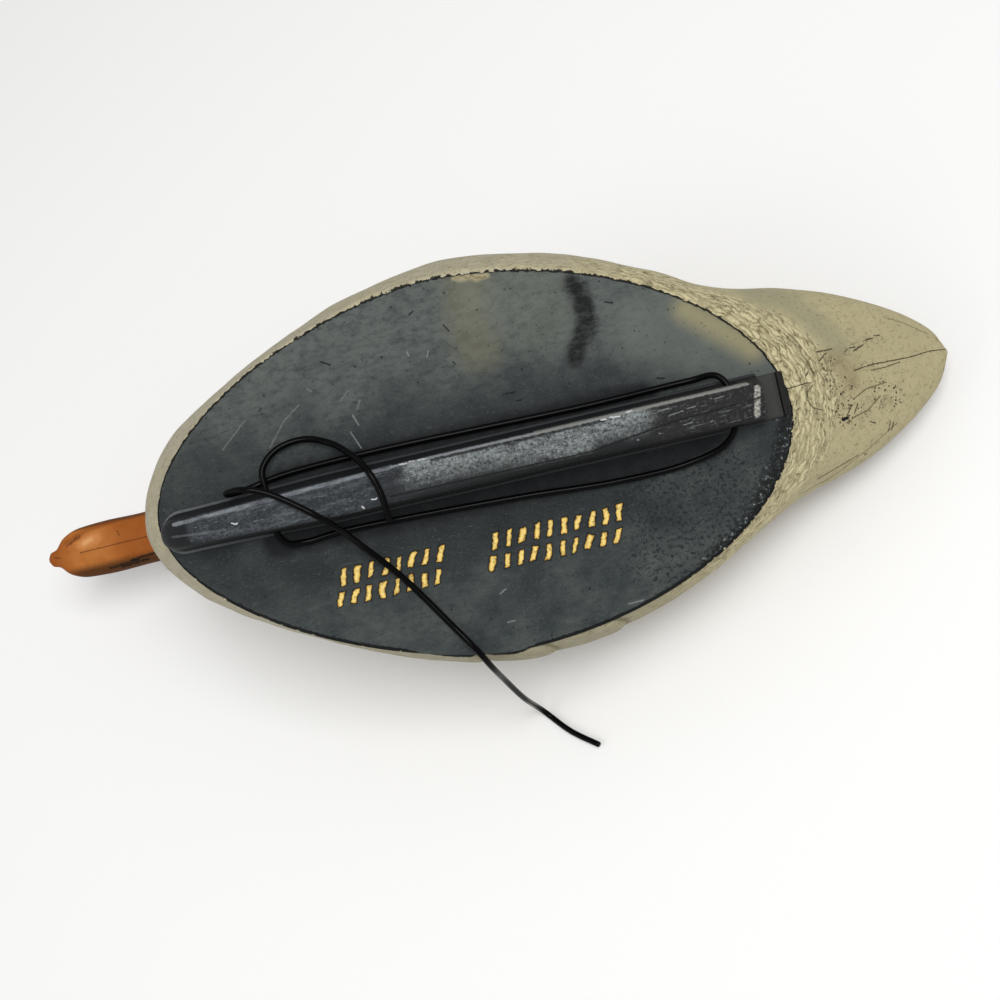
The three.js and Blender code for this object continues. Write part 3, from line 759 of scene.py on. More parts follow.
# before and behind the flat bottom the flanks run into breast and tail in one fair sweep
x, y, z = np.moveaxis(body, -1, 0)
clear_of_plate = (column > BOTTOM_STEPS) | (np.abs(x) > BOTTOM_REACH + 0.3)
behind = smooth_step(-122, -136, x) * smooth_step(-200, -180, x) * smooth_step(44, 28, z)
before = smooth_step(136, 143, x) * smooth_step(165, 160, x) * smooth_step(44, 34, z)
for free, passes in ((behind, 90), (before, 45)):
    free = (free * clear_of_plate)[..., None]
    for _ in range(passes):
        body = body + free * (grid_mean(body) - body)

x, y, z = np.moveaxis(body, -1, 0)
normal = outward(body)
step_out = np.linalg.norm(np.diff(body, axis=1, append=body[:, :1]), axis=-1)
half_count = BOTTOM_STEPS + FLANK_STEPS + BACK_STEPS
girth = np.cumsum(step_out, axis=1) - step_out
from_spine = np.abs(girth - girth[:, half_count][:, None])
off_rim = from_rim(body)[0]
off_plate = (column > BOTTOM_STEPS) | (np.abs(x) >= BOTTOM_REACH)
on_flank = off_plate * smooth_step(0, 4, off_rim)
climb = np.clip((column - BOTTOM_STEPS - FLANK_STEPS) / BACK_STEPS, 0, 1)
on_back = smooth_step(0.05, 0.3, climb)


def wrinkled(x, z, off_rim):
    """Share of the wrinkled skin: full behind x = -108, 0.28 amidships and 0.1 ahead of x = 40. It
    fades 19 to 27 mm from the rim, a little further out behind the bottom, and above the beam."""
    reach = off_rim - 0.35 * np.maximum(0, -BOTTOM_REACH - x)
    most = 0.1 + 0.18 * smooth_step(40, -30, x) + 0.72 * smooth_step(-60, -108, x)
    return most * smooth_step(27, 19, reach) * smooth_step(62, 50, z)


# moulded plumage, in millimetres: short wrinkles that run with the rim on the rear flanks, and
# broad soft lumps on the sides
WRINKLE_PITCH, WRINKLE_HEIGHT = 4.4, 0.62
LUMP_SIZE, LUMP_HEIGHT = 46, 0.28
wrinkle_field = off_rim / WRINKLE_PITCH + 0.8 * swell(body, 15, seed=11, octaves=2)
break_up = smooth_step(-0.3, 0.5, swell(body * (1, 0.55, 0.55), 8, seed=12, octaves=2))
wrinkles = (np.abs(np.sin(np.pi * wrinkle_field)) - 0.6) * break_up * wrinkled(x, z, off_rim)
lumps = swell(body, LUMP_SIZE, seed=13)
# small feathers over the back, and long ones along the folded wings: spacing of their rows, and
# width of a feather
SMALL_FEATHER, LONG_FEATHER = (21, 17), (52, 9)
FEATHER_FRONT, FEATHER_HEIGHT = 60, 1.0
behind_front = FEATHER_FRONT - x
uneven = 0.12 * swell(body, 60, seed=14, octaves=1)
small_height = scales(behind_front / SMALL_FEATHER[0] + uneven, from_spine / SMALL_FEATHER[1])
long_height = scales(behind_front / LONG_FEATHER[0] + 0.5 * climb, from_spine / LONG_FEATHER[1])
on_wing = smooth_step(-20, -50, x) * smooth_step(0.5, 1.5, wing_raise(x, climb))
feathers = (small_height - 0.5) * (1 - on_wing) + (long_height - 0.5) * on_wing
feather_zone = on_back * smooth_step(-206, -190, x) * smooth_step(100, 70, x)
# three broad feathers overlap on the lower right flank: middle and half length of each along x,
# and middle and half height of them all
RIGHT_FEATHERS = ((-32, 17), (4, 18), (34, 15))
OVERLAP_LEVEL, OVERLAP_HALF, OVERLAP_HEIGHT = 13, 16, 1.5
overlap = np.zeros(x.shape)
for middle, half in RIGHT_FEATHERS:
    reach = np.hypot((x - middle) / (half * 1.3), (z - OVERLAP_LEVEL) / OVERLAP_HALF)
    raised = smooth_step(1.0, 0.86, reach) * smooth_step(-1.4, 0.9, (middle - x) / half)
    overlap = np.maximum(overlap, raised)
overlap *= (y < 0) & (z < 34)
calm_tail = 1 - 0.6 * smooth_step(-185, -200, x)
relief = WRINKLE_HEIGHT * wrinkles + LUMP_HEIGHT * lumps * calm_tail
relief = relief + FEATHER_HEIGHT * feathers * feather_zone + OVERLAP_HEIGHT * overlap
relief = on_flank * relief
body = body + normal * relief[..., None]
poles = np.stack((body[0].mean(axis=0), body[-1].mean(axis=0)))
body_corners = laid(np.vstack((body.reshape(-1, 3), poles)))


def head_skin(at):
    """Rings of the neck, head and bill, squarish ellipses square to one bent line: side = half
    |cos| ^ (2 / n), up = depth |sin| ^ (2 / n), leaning back by the line's own angle."""
    row = np.arange(len(HEAD_LINES), dtype=float)
    x, z, lean, half, depth, square = (fair_curve(row, column, at)[:, None]
                                       for column in HEAD_LINES.T)
    lean = np.radians(lean)
    around = np.linspace(0, 2 * np.pi, HEAD_SIDES, endpoint=False)[None]
    c, s = np.cos(around), np.sin(around)
    side = half * np.sign(c) * np.abs(c) ** (2 / square)
    up = depth * np.sign(s) * np.abs(s) ** (2 / square)
    turned = HEAD_TURN * smooth_step(120, 200, x)
    return np.stack((x - up * np.cos(lean), side + turned, z + up * np.sin(lean)), -1)


head_at = np.linspace(0, len(HEAD_LINES) - 1, HEAD_RINGS + 1)
head = head_skin(head_at)
normal = outward(head)
x, y, z = np.moveaxis(head, -1, 0)
uneven = HEAD_UNEVEN * swell(head, 30, seed=21, octaves=2) * smooth_step(170, 150, x)
head = head + normal * uneven[..., None]
poles = np.stack((head[0].mean(axis=0), head[-1].mean(axis=0)))
head_corners = laid(np.vstack((head.reshape(-1, 3), poles)))

paint, tree, surface = new_material("flat_painted_polyethylene")
decoy_body = new_piece("decoy_body_shell", body_corners, skin_faces(*body.shape[:2]), paint)
drilled(decoy_body, new_piece("head", head_corners, skin_faces(*head.shape[:2]), paint), "UNION")


def eye_dome(side):
    """A low dome: a ball squeezed to EYE_OUT of its radius across the head."""
    polar = np.linspace(0, np.pi, EYE_RINGS + 2)[1:-1, None]
    around = np.linspace(0, 2 * np.pi, EYE_SIDES, endpoint=False)[None]
    ball = np.broadcast_arrays(np.sin(polar) * np.cos(around), np.cos(polar),
                               np.sin(polar) * np.sin(around))
    ball = np.vstack((np.stack(ball, -1).reshape(-1, 3), (0, 1, 0), (0, -1, 0)))
    return ball * EYE_RADIUS * (1, EYE_OUT, 1) + np.array(EYE) * (1, side, 1)


for side in (1, -1):
    dome = new_piece("eye", laid(eye_dome(side)), skin_faces(EYE_RINGS, EYE_SIDES), paint)
    drilled(decoy_body, dome, "UNION")

mesh = decoy_body.data
corners = np.empty(len(mesh.vertices) * 3, np.float32)
mesh.vertices.foreach_get("co", corners)
corners = corners.reshape(-1, 3)
corners[:, 2] = np.maximum(corners[:, 2], 0)
mesh.vertices.foreach_set("co", corners.ravel())
mesh.update()
own = keep_duck_frame(decoy_body)
shade_smooth(decoy_body, 60)
edges = np.empty(len(mesh.edges) * 2, np.int32)
mesh.edges.foreach_get("vertices", edges)
edges = edges.reshape(-1, 2)
degree = np.bincount(edges.ravel(), minlength=len(own))


def neighbour_mean(values, edges, degree):
    """Mean of each corner's neighbours along the edges, column by column."""
    a, b = edges.T
    count = len(values)
    total = [np.bincount(a, column[b], count) + np.bincount(b, column[a], count)
             for column in values.T]
    return np.stack(total, -1) / np.maximum(degree, 1)[:, None]


# the neck grows out of the back in one soft curve: the crease of the join, which is where
# smoothing moves the corners most, is drawn towards its neighbours
JOIN_REACH, CREASE_MOVE = 15, 1.3
FIND_PASSES, JOIN_PASSES = 60, 45
near_neck = (own[:, 0] > 20) & (own[:, 0] < 140) & (own[:, 2] > 62) & (own[:, 2] < 135)
soft = own.copy()
for _ in range(FIND_PASSES):
    mean = neighbour_mean(soft, edges, degree)
    soft = np.where(near_neck[:, None], mean, soft)
moved = np.linalg.norm(soft - own, axis=1)
crease = own[near_neck & (moved > CREASE_MOVE)]
gap = np.full(len(own), 1e3)
nearby = np.flatnonzero(near_neck)
for block in np.array_split(nearby, max(len(nearby) // 400, 1)):
    gap[block] = np.sqrt(((own[block, None] - crease[None, ::3]) ** 2).sum(-1)).min(axis=1)
weight = smooth_step(JOIN_REACH, 2, gap)[:, None]
for _ in range(JOIN_PASSES):
    own = own + weight * (neighbour_mean(own, edges, degree) - own)
corners = laid(own)
corners[:, 2] = np.maximum(corners[:, 2], 0)
mesh.vertices.foreach_set("co", corners.astype(np.float32).ravel())
mesh.update()
own = own_places(decoy_body)

# what the paint needs to know: how far inside the bottom's rim, how hollow, how far up the side
off_rim, rim_place = from_rim(own)
level = fair_curve(BODY_LINES[:, 0], BODY_LINES[:, 3], own[:, 0])
on_bottom = (np.abs(own[:, 2] - level) < 0.4) & (np.abs(own[:, 0]) < BOTTOM_REACH)
off_middle = np.abs(own[:, 1] - SHELL_WARP * own[:, 0] - SHELL_SHIFT)
on_bottom &= off_middle <= bottom_half(own[:, 0]) + 0.01
inside_by = np.where(on_bottom, off_rim, -off_rim)
rim_frame = np.stack((inside_by, rim_place, 0 * off_rim), -1).astype(np.float32)
mesh.attributes.new("rim", "FLOAT_VECTOR", "POINT").data.foreach_set("vector", rim_frame.ravel())
set_share(mesh, "wrinkled", np.where(on_bottom, 0, wrinkled(own[:, 0], own[:, 2], off_rim)))
normals = np.empty(len(own) * 3, np.float32)
mesh.vertices.foreach_get("normal", normals)
normals = normals.reshape(-1, 3) @ LIE
mean = neighbour_mean(own, edges, degree)
for _ in range(2):
    mean = neighbour_mean(mean, edges, degree)
set_share(mesh, "hollow", ((mean - own) * normals).sum(axis=1) * ~on_bottom)
beam_line = fair_curve(BODY_LINES[:, 0], BODY_LINES[:, 2], own[:, 0])
set_share(mesh, "upper", smooth_step(-5, 10, own[:, 2] - beam_line))
set_share(mesh, "head", smooth_step(88, 112, own[:, 2]) * smooth_step(60, 80, own[:, 0]))
set_share(mesh, "bill", np.where(own[:, 2] > 112, own[:, 0] - 176 + 0.02 * own[:, 1] ** 2, -60))

TAN_REAR, TAN_FORE = "#b1a783", "#a8a28d"
SLATE_DARK, SLATE_LIGHT = "#2f3435", "#555a57"
# marks on the bottom, as points (x, y) in millimetres
STAIN = ((-63.4, 71.3), (-65.6, 64.2), (-65.8, 54.6), (-63.4, 48.5), (-57, 38.6))
CHIP = ((-11, 86.4), (-25, 83.6))
YELLOWED = ((-14, 82), (-12, 66), (-14, 52))
TAN_PATCH = ((-26, 76), (-46, 70), (-44, 58))
OLIVE_FADE = ((-112, 48), (-124, 37), (-138, 24))
GREY_FADE = ((-92, 44), (-118, 28), (-138, 13))
# painted shade and grime along both sides of the keel
KEEL_SHADE_AND_GRIME = (
    ((98, -15), (40, -15.5), (-20, -16.5), (-95, -17), (-112, -12)), ((88, 12.5), (-84, 13.5)),
)
WORN_EDGE = ((-149, -12), (-140, -33), (-122, -56), (-100, -70))
SPECKLED = ((-74, -26), (-116, -34)), ((-80, -46), (-110, -48)), ((-75, -62), (-95, -62))
SCRATCHES = (
    ((52.7, 27.8), (49.6, 19.4)), ((50, 35.2), (48.3, 30.1)), ((2, -61.4), (-1.2, -59.8)),
    ((1.6, -75.3), (-2, -75.3)), ((-55.5, -79.6), (-62.7, -79.5)), ((8.9, 56.2), (10.2, 53.7)),
    ((18.7, 58), (18.3, 56)),
)
FAINT_SCRATCHES = (
    ((73.3, 45.4), (81.8, 39.6), (90.8, 29.2)), ((53.6, 43.2), (49.8, 46.5)),
    ((45.1, 41.2), (47.1, 37.6)), ((99.2, 44.2), (112.6, 33)), ((68, 52), (66, 50)),
)
SPILL = ((37, -86), (22, -89), (6, -91))
RAGGED_RIM = ((76, 62), (40, 82), (0, 90), (-40, 84), (-62, 78))
DASHES = (
    ((-20.6, 28.7), (-26, 28.6)), ((58.7, 62.5), (54.9, 60.2)), ((-92, 20), (-95, 19)),
    ((-25.9, 24.3), (-27.8, 24.4)), ((13.9, 74.5), (11.7, 75.9)), ((-1, 48.7), (-1.7, 47.6)),
    ((-0.4, 66.4), (-2.5, 63.1)), ((-76, 59.8), (-79.4, 58.8)),
)
# marks on the tail and rear flank, and a band of painted shade on the rear flank
SEAM = (
    ((-149, 1.4), (-154.8, 1.7), (-160, 2), (-163.6, 1.5)),
    ((-188.5, 2.2), (-198, 3), (-207, 2.7), (-222, 2.1), (-234, 2.7), (-246, 1.5)),
)
FLOW_LINES = (
    ((-163.6, 0.3), (-160.2, -2.3), (-158.9, -5.4), (-161.4, -10.2), (-166.3, -12.3)),
    ((-185.2, -11.1), (-193, -7.8), (-205, -7)),
    ((-182.5, -19.9), (-192.3, -18.1), (-200.3, -12.9)),
    ((-160, -45), (-173, -41.7), (-184, -38.7)), ((-198, 0.4), (-206, 0.2), (-215, 0.9)),
)
TICKS = (
    ((-170.8, 15), (-179.5, 14.8)), ((-170.6, 10.6), (-175.7, 13.6)),
    ((-187.1, -14), (-184.3, -17.8)), ((-180, -18), (-183.6, -13.7)),
    ((-204.1, -26.5), (-202.5, -30.9)), ((-205.8, -27.1), (-204.5, -30.8)),
    ((-192.5, -23.9), (-195.2, -25.2)), ((-189.5, 13.3), (-192.4, 13.2)),
    ((-190.8, 11.5), (-197, 13.2)), ((-199.6, 15.3), (-203.2, 15.5)),
    ((-204.6, 16.3), (-207.6, 16.2)), ((-188, -39.6), (-188.8, -39.2)), ((-161, 5), (-163, 7)),
    ((-165, 8), (-166, 5.6)),
)
HOLE = ((-177.2, -19.4), (-180, -19.2))
PITTED = (
    ((-176, 4), (-180, -8)), ((-183, -9), (-178, -14)), ((-178, -17), (-186, -17)),
    ((-199.6, -11.5), (-207, -15)),
)
STAINED = ((-178, 10), (-184, 6), (-186, -2))
PAINTED_SHADE_BAND = ((-150, 49), (-167, 40), (-184, 17))
RIM_LINE = (
    ((-214, 24), (-224, 19), (-236, 11)), ((-152, -50), (-170, -46), (-190, -37), (-208, -28)),
)
CRACKLE = ((-186, 12), (-199, 15), (-208, 14)), ((-190, 3), (-200, 3))
# marks on the bill, with painted shade under its ridge and painted highlights on its underside
BILL_STREAKS = (
    ((196, -12.8), (212, -14.2)), ((178, -10.5), (200, -12.4)), ((190, -13.6), (206, -15)),
)
BILL_LINES = (
    ((226, -1.8), (214.7, -1.6), (205.5, -1.5), (188, -1.4)), ((240.6, -1.2), (237, -2.2)),
    ((203.6, 5.6), (202.6, 3)),
)
BILL_RIDGE_SHADE = ((233, 5.2), (227, 7.6), (220, 9.8), (204, 11))
BILL_PATCH = ((232, 3.9), (224.7, 7))
BILL_SOFT_HIGHLIGHT = ((216, 4.2), (224, 2.6))
BILL_GLEAM = ((218.6, 4.4), (222.4, 3.2))

# Flat oil paint brushed on polyethylene that was flame-treated to take it: dry, chalky, mottled at
# 5 to 30 mm, with pits of about 1 mm where it has flaked. It is a little lighter on ridges, and
# darker in every hollow, with black grime and painted shade.
at = add(tree, "Attribute", {}, out=1, attribute_name="duck")
rim = add(tree, "Attribute", {}, out=1, attribute_name="rim")
x, y, z = (add(tree, "SeparateXYZ", {0: at}, out=i) for i in range(3))
inside_by = add(tree, "SeparateXYZ", {0: rim}, out=0)
wrinkled_share, hollow, upper, head_share, bill_by = (
    add(tree, "Attribute", {}, out=2, attribute_name=name)
    for name in ("wrinkled", "hollow", "upper", "head", "bill"))
under = add(tree, "Math", {0: 1.0, 1: upper}, operation="SUBTRACT")
fine = shaky(tree, at, 1.2, 0.9)
loose = shaky(tree, at, 6, 5)
brushed = add(tree, "Mapping", {"Vector": at, "Rotation": (0, 0, 0.12), "Scale": (0.45, 1.0, 1.0)})
# place, size in millimetres, detail, roughness and distortion of each
cloud, mottle, streak, grain, chips, torn = (
    add(tree, "TexNoise", {"Vector": place, "Scale": 1 / size, "Detail": detail,
                           "Roughness": rough, "Distortion": bend})
    for place, size, detail, rough, bend in (
        (at, 26, 4.0, 0.6, 0.0), (at, 6, 4.0, 0.65, 0.0), (brushed, 3, 5.0, 0.75, 0.0),
        (at, 1.1, 2.0, 0.7, 0.0), (at, 1.8, 3.0, 0.65, 0.6), (at, 2.8, 4.0, 0.65, 0.0)))
cells = add(tree, "TexVoronoi", {"Vector": at, "Scale": 1 / 3.4})
small_cells = add(tree, "TexVoronoi", {"Vector": fine, "Scale": 1 / 1.9})
some = spread(tree, (mottle, 0.5, 0.62))
specks = spread(tree, (cells, 0.1, 0.2, 1.0, 0.0), some)

# connected wrinkles that run with the rim, 8 mm long and 2.6 mm apart, like bark
WRINKLE_CELL = (1 / 2.6, 1 / 8, 1.0)
crook = add(tree, "TexNoise", {"Vector": at, "Scale": 1 / 6, "Detail": 2.0}, out=1)
crook = add(tree, "VectorMath", {0: crook, 1: (0.5, 0.5, 0.5)}, operation="SUBTRACT")
wrinkle_at = add(tree, "VectorMath", {0: crook, 1: (6.0, 12.0, 0.0), 2: rim},
                 operation="MULTIPLY_ADD")
wrinkle_at = add(tree, "Mapping", {"Vector": wrinkle_at, "Scale": WRINKLE_CELL})
wrinkle = add(tree, "TexVoronoi", {"Vector": wrinkle_at, "Scale": 1.0}, feature="DISTANCE_TO_EDGE")
wrinkle_fold = spread(tree, (wrinkle, 0.0, 0.3), wrinkled_share)

# tan ground, weathered, with painted shade on its lower right flank and in a band on the rear
# flank, and the marks of the mould and of wear on the tail
eaten = add(tree, "Math", {0: chips, 1: 0.5}, operation="SUBTRACT")
eaten = add(tree, "Math", {0: eaten}, operation="ABSOLUTE")
eaten = spread(tree, (eaten, 0.008, 0.024, 1.0, 0.0), some)
small_pits = spread(tree, (small_cells, 0.2, 0.34, 1.0, 0.0))
eaten = add(tree, "Math", {0: eaten, 1: small_pits}, operation="MAXIMUM")
crackle = add(tree, "TexVoronoi", {"Vector": fine, "Scale": 1 / 2.7}, feature="DISTANCE_TO_EDGE")
rearward = add(tree, "MapRange", {0: x, 1: -20.0, 2: -110.0}, interpolation_type="SMOOTHSTEP")
tint = coats(tree, srgb(TAN_FORE), (
    (rearward, TAN_REAR),
    ((cloud, 0.42, 0.7, 0.0, 0.45), "#a39a78"),
    ((mottle, 0.45, 0.7, 0.0, 0.35), "#989072"),
    ((grain, 0.52, 0.75, 0.0, 0.4), "#8b8365"),
    ((streak, 0.42, 0.28, 0.0, 0.5), "#c0b794"),
    # lighter on ridges; darker in hollows, as grime and painted shade
    ((hollow, -0.03, -0.2, 0.0, 0.18), "#c2b994"),
    ((hollow, 0.03, 0.22, 0.0, 0.8), "#5e563c"),
    ((wrinkle, 0.06, 0.26, 0.0, 0.8), wrinkled_share, "#d2c8a0"),
    ((wrinkle, 0.01, 0.075, 1.0, 0.0), (mottle, 0.4, 0.6, 0.2, 0.95), (y, 2.0, -22.0, 1.0, 0.45),
     wrinkled_share, "#61583c"),
    (specks, "#75694a"),
    # painted shade: the lower right flank darker
    ((y, -58.0, -92.0, 0.0, 0.45), under, "#7d7861"),
    ((chips, 0.56, 0.66, 0.0, 0.7), "#7f7557"),
    # painted shade: a grey-green band on the rear flank
    (nearness(tree, loose, (PAINTED_SHADE_BAND,), 2.0, 9.0, 0.5), under, "#84856d"),
    (nearness(tree, loose, (STAINED,), 2.0, 7.0, 0.4), under, "#7c6f50"),
    (nearness(tree, fine, RIM_LINE, 0.05, 0.4, 0.6), under, "#4d452f"),
    (nearness(tree, fine, FLOW_LINES, 0.1, 0.45, 0.8), under, "#4c442d"),
    (nearness(tree, loose, CRACKLE, 0.4, 2.8), (crackle, 0.02, 0.08, 0.6, 0.0), under, "#3a3322"),
    (nearness(tree, loose, PITTED, 4.0, 6.0), eaten, under, "#3a3220"),
    (nearness(tree, fine, TICKS, 0.12, 0.4, 0.9), under, "#262117"),
    (nearness(tree, fine, SEAM, 0.1, 0.36, 0.9), under, "#2b261b"),
    (nearness(tree, fine, (HOLE,), 0.6, 0.4), under, "#0f0e0c"),
))

# brown back and head, painted plainly over the tan
crown = add(tree, "MapRange", {0: z, 1: 160.0, 2: 176.0}, interpolation_type="SMOOTHSTEP")
brown = spread(tree, (mottle, 0.3, 0.7, 0.35, 0.75))
tint = coats(tree, tint, (
    (brown, upper, "#7a6c4c"),
    (brown, head_share, "#85744f"),
    (crown, head_share, "#4f422c"),
))

# orange bill, blotched dark above, with painted shade along its edges and under its ridge, and
# painted highlights on its underside
bill_root, bill_right_shade, bill_left_shade, bill_tip, culmen = (
    add(tree, "MapRange", dict(enumerate(slope)), interpolation_type="SMOOTHSTEP") for slope in (
        (x, 214.0, 198.0, 0.0, 0.6), (y, -7.8, -13.2, 0.0, 0.95), (y, 9.8, 11.8, 0.0, 0.85),
        (x, 226.0, 242.0, 0.0, 0.75), (z, 141.0, 150.0)))
chin = spread(tree, (z, 140.0, 136.0))
orange = coats(tree, srgb("#a45f24"), (
    (cloud, "#b77338"),
    ((mottle, 0.45, 0.7, 0.0, 0.4), "#964f17"),
    (bill_root, "#87420e"),
    # painted shade along both edges of the bill
    (bill_right_shade, "#4c2d14"),
    (bill_left_shade, "#4f2d12"),
    (bill_tip, "#894510"),
    (culmen, brown, "#2c2117"),
    (nearness(tree, shaky(tree, at, 2, 2.6), BILL_STREAKS, 0.1, 0.9, 0.95), chin, "#14100c"),
    # painted shade under the ridge
    (nearness(tree, fine, (BILL_RIDGE_SHADE,), 0.4, 1.3, 0.5), chin, "#7a3c12"),
    (nearness(tree, shaky(tree, at, 2, 3), (BILL_PATCH,), 0.1, 1.2, 0.8), chin, "#5a2c0e"),
    # painted highlights: a soft one and a brighter gleam on the underside
    (nearness(tree, fine, (BILL_SOFT_HIGHLIGHT,), 1.0, 4.0, 0.6), chin, "#cd8b52"),
    (nearness(tree, shaky(tree, at, 2, 3), (BILL_GLEAM,), 0.2, 2.4, 0.45), chin, "#e2b07c"),
    (nearness(tree, fine, BILL_LINES, 0.05, 0.5, 0.8), chin, "#4f290f"),
))
tint = coats(tree, tint, (((bill_by, -0.3, 0.3), orange),))

# slate bottom: light on its left half, near black beside the keel with its painted shadow and
# grime, streaked and flecked
light_side, right_shade, left_shade, left_open, fore_open = (
    add(tree, "MapRange", dict(enumerate(slope)), interpolation_type="SMOOTHSTEP") for slope in (
        (y, 14.0, 72.0, 0.0, 0.75), (y, -60.0, -22.0, 0.0, 0.75), (y, 12.0, 46.0, 0.8, 0.0),
        (x, -40.0, -92.0, 1.0, 0.3), (x, 30.0, 90.0, 1.0, 0.6)))
slate_cloud = spread(tree, (cloud, 0.38, 0.66))
slate_cloud = add(tree, "Math", {0: slate_cloud, 1: 0.6, 2: light_side}, operation="MULTIPLY_ADD")
left_shade = spread(tree, left_shade, left_open, fore_open)
keel_shade = add(tree, "Math", {0: right_shade, 1: left_shade}, operation="MINIMUM")
worn = nearness(tree, loose, (WORN_EDGE,), 3.5, 6.0)
slate = coats(tree, srgb(SLATE_DARK), (
    (slate_cloud, SLATE_LIGHT),
    # painted shadow of the keel on the bottom
    (keel_shade, "#16191b"),
    ((mottle, 0.5, 0.68, 0.0, 0.4), "#30373a"),
    ((streak, 0.48, 0.68, 0.0, 0.6), "#262b2d"),
    ((streak, 0.42, 0.26, 0.0, 0.3), "#646a69"),
    ((grain, 0.58, 0.75, 0.0, 0.4), "#5f6664"),
    (nearness(tree, at, (YELLOWED,), 2.0, 16.0, 0.34), "#7a775b"),
    (nearness(tree, loose, (TAN_PATCH,), 6.0, 18.0, 0.22), "#74776a"),
    (nearness(tree, at, (GREY_FADE,), 5.0, 20.0, 0.5), "#6b716b"),
    (nearness(tree, at, (OLIVE_FADE,), 0.0, 11.5, 0.75), "#958e6c"),
    (nearness(tree, loose, (STAIN,), 2.0, 5.2, 0.98), (streak, 0.36, 0.54, 0.65, 1.0), "#121415"),
    (specks, "#1a1d1e"),
    ((chips, 0.64, 0.7, 0.0, 0.7), "#121415"),
    ((chips, 0.31, 0.27, 0.0, 0.3), "#7f8685"),
    (nearness(tree, loose, SPECKLED, 10.0, 12.0, 0.8), (chips, 0.52, 0.6), "#1b1e1f"),
    # painted shade and grime along both sides of the keel
    (nearness(tree, loose, KEEL_SHADE_AND_GRIME, 3.5, 6.0, 0.9), "#101214"),
    (worn, (chips, 0.42, 0.5, 0.1, 0.9), "#111313"),
    (worn, (chips, 0.38, 0.34, 0.0, 0.8), "#858d8e"),
    (nearness(tree, fine, FAINT_SCRATCHES, 0.0, 0.6, 0.3), "#8b9189"),
    (nearness(tree, fine, SCRATCHES, 0.05, 0.5, 0.5), "#8f9492"),
    (nearness(tree, fine, DASHES, 0.2, 0.4, 0.9), "#121415"),
    (nearness(tree, loose, (CHIP,), 0.4, 2.6, 0.8), "#a2987a"),
    (nearness(tree, shaky(tree, at, 3, 4), (CHIP,), 0.0, 0.8, 0.6), "#6e5430"),
))

# two rows of short yellow brush strokes that lean like fence pales. Each row has two groups of
# them, from one pale to another counted from the middle of the bottom.
STROKE_PITCH = 6.6
STROKE_LEAN = 0.32
STROKE_HALF = 1.2
STROKE_EDGE = 0.8
STROKE_GROUPS = ((2, 9), (-11, -2))
STROKE_ROWS = ((-36.8, 3.5), (-47.2, 3.5))          # middle and half height
by_hand = shaky(tree, fine, 9, 4.5)
stroke_x, stroke_y = (add(tree, "SeparateXYZ", {0: by_hand}, out=i) for i in range(2))
lean = add(tree, "Math", {0: stroke_y, 1: STROKE_LEAN, 2: stroke_x}, operation="MULTIPLY_ADD")
off_stroke = add(tree, "Math", {0: lean, 1: STROKE_PITCH / 2}, operation="PINGPONG")
off_stroke = add(tree, "Math", {0: off_stroke, 1: STROKE_HALF}, operation="SUBTRACT")
spans = [(stroke_y, middle, half) for middle, half in STROKE_ROWS]
spans += [(lean, (first + last) / 2 * STROKE_PITCH, (last - first + 1) / 2 * STROKE_PITCH)
          for first, last in STROKE_GROUPS]
gaps = []
for value, middle, half in spans:
    gap = add(tree, "Math", {0: value, 1: middle}, operation="SUBTRACT")
    gap = add(tree, "Math", {0: gap}, operation="ABSOLUTE")
    gaps.append(add(tree, "Math", {0: gap, 1: half}, operation="SUBTRACT"))
row_gap = add(tree, "Math", {0: gaps[0], 1: gaps[1]}, operation="MINIMUM")
group_gap = add(tree, "Math", {0: gaps[2], 1: gaps[3]}, operation="MINIMUM")
off_stroke = add(tree, "Math", {0: off_stroke, 1: row_gap, 2: 0.6}, operation="SMOOTH_MAX")
off_stroke = add(tree, "Math", {0: off_stroke, 1: group_gap}, operation="MAXIMUM")
yellow = coats(tree, srgb("#c0943a"), (((off_stroke, -0.1, -0.7), "#ecd07c"),))
slate = coats(tree, slate, (
    ((off_stroke, STROKE_EDGE, STROKE_EDGE - 0.4, 0.0, 0.85), "#0d0e0f"),
    ((off_stroke, 0.15, -0.15), (chips, 0.36, 0.5, 0.55, 1.0), yellow),
))

# the paint stops at the rim in a hand-cut edge, and grime fills the groove there in a broken
# black line
torn_most = nearness(tree, at, (RAGGED_RIM,), 8.0, 16.0)
torn_most = add(tree, "Math", {0: torn_most, 1: worn}, operation="MAXIMUM")
torn_reach = add(tree, "MapRange", {0: torn_most, 3: 1.0, 4: 2.2})
torn_reach = add(tree, "Math", {0: worn, 1: 5.0, 2: torn_reach}, operation="MULTIPLY_ADD")
ragged = add(tree, "Math", {0: torn, 1: 0.5}, operation="SUBTRACT")
ragged = spread(tree, ragged, torn_reach)
wander = add(tree, "MapRange", {0: mottle, 1: 0.2, 2: 0.8, 3: -0.9, 4: 0.9})
spill = nearness(tree, at, (SPILL,), 3.0, 16.0, 2.8)
lip_at = inside_by
for shift in (ragged, wander, spill):
    lip_at = add(tree, "Math", {0: lip_at, 1: shift}, operation="ADD")
lip_width = add(tree, "MapRange", {0: mottle, 1: 0.35, 2: 0.65, 3: 0.15, 4: 0.75})
lip_blobs = add(tree, "MapRange", {0: torn, 1: 0.5, 2: 0.64, 3: -0.15, 4: 0.7})
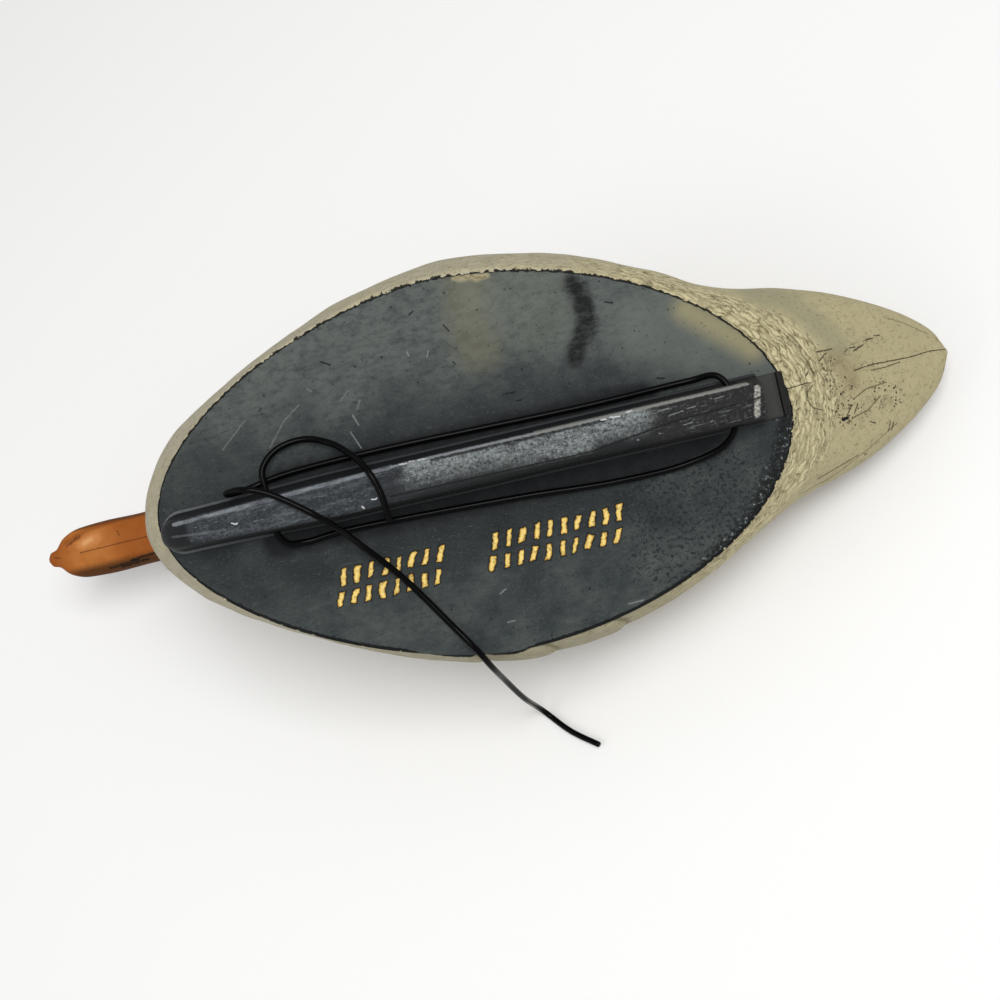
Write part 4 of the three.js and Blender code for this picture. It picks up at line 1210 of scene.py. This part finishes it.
lip_width = add(tree, "Math", {0: lip_blobs, 1: torn_most, 2: lip_width}, operation="MULTIPLY_ADD")
lip_width = add(tree, "Math", {0: spill, 1: 0.2, 2: lip_width}, operation="MULTIPLY_ADD")
lip_right = add(tree, "MapRange", {0: y, 1: -30.0, 2: -60.0, 3: 0.0, 4: 0.35})
lip_width = add(tree, "Math", {0: lip_width, 1: lip_right}, operation="ADD")
lip_middle = add(tree, "MapRange", {0: y, 1: -10.0, 2: -40.0, 3: 0.1, 4: 0.9})
off_lip = add(tree, "Math", {0: lip_at, 1: lip_middle}, operation="SUBTRACT")
off_lip = add(tree, "Math", {0: off_lip}, operation="ABSOLUTE")
off_lip = add(tree, "Math", {0: off_lip, 1: lip_width}, operation="SUBTRACT")

# glossy dark eyes, the same on either side of the head
eye_gap = add(tree, "VectorMath", {0: at}, operation="ABSOLUTE")
eye_gap = add(tree, "VectorMath", {0: eye_gap, 1: EYE}, out=1, operation="DISTANCE")
eye_share = spread(tree, (eye_gap, EYE_RADIUS - 0.1, EYE_RADIUS + 0.2, 1.0, 0.0))
tint = coats(tree, tint, (
    ((lip_at, -0.2, 0.15), slate),
    ((off_lip, 0.0, 0.3, 0.95, 0.0), "#0b0c0c"),
    (eye_share, "#4a2a12"),
    ((eye_gap, PUPIL_RADIUS, PUPIL_RADIUS + 0.3, 1.0, 0.0), "#0b0a09"),
))
rough = add(tree, "MapRange", {0: mottle, 1: 0.3, 2: 0.7, 3: 0.52, 4: 0.7})
rough = add(tree, "Mix", {0: eye_share, 2: rough, 3: 0.12}, data_type="FLOAT")
height = add(tree, "Math", {0: grain, 1: 0.5, 2: mottle}, operation="MULTIPLY_ADD")
height = add(tree, "Math", {0: wrinkle_fold, 1: 1.3, 2: height}, operation="MULTIPLY_ADD")
bump = add(tree, "Bump", {"Strength": 0.5, "Distance": 0.0005, "Height": height})
tree.links.new(add(tree, "BsdfPrincipled", {"Base Color": tint, "Roughness": rough, "IOR": 1.5,
                                            "Specular IOR Level": 0.12, "Normal": bump}), surface)
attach(decoy_body, "root")
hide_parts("decoy_body")
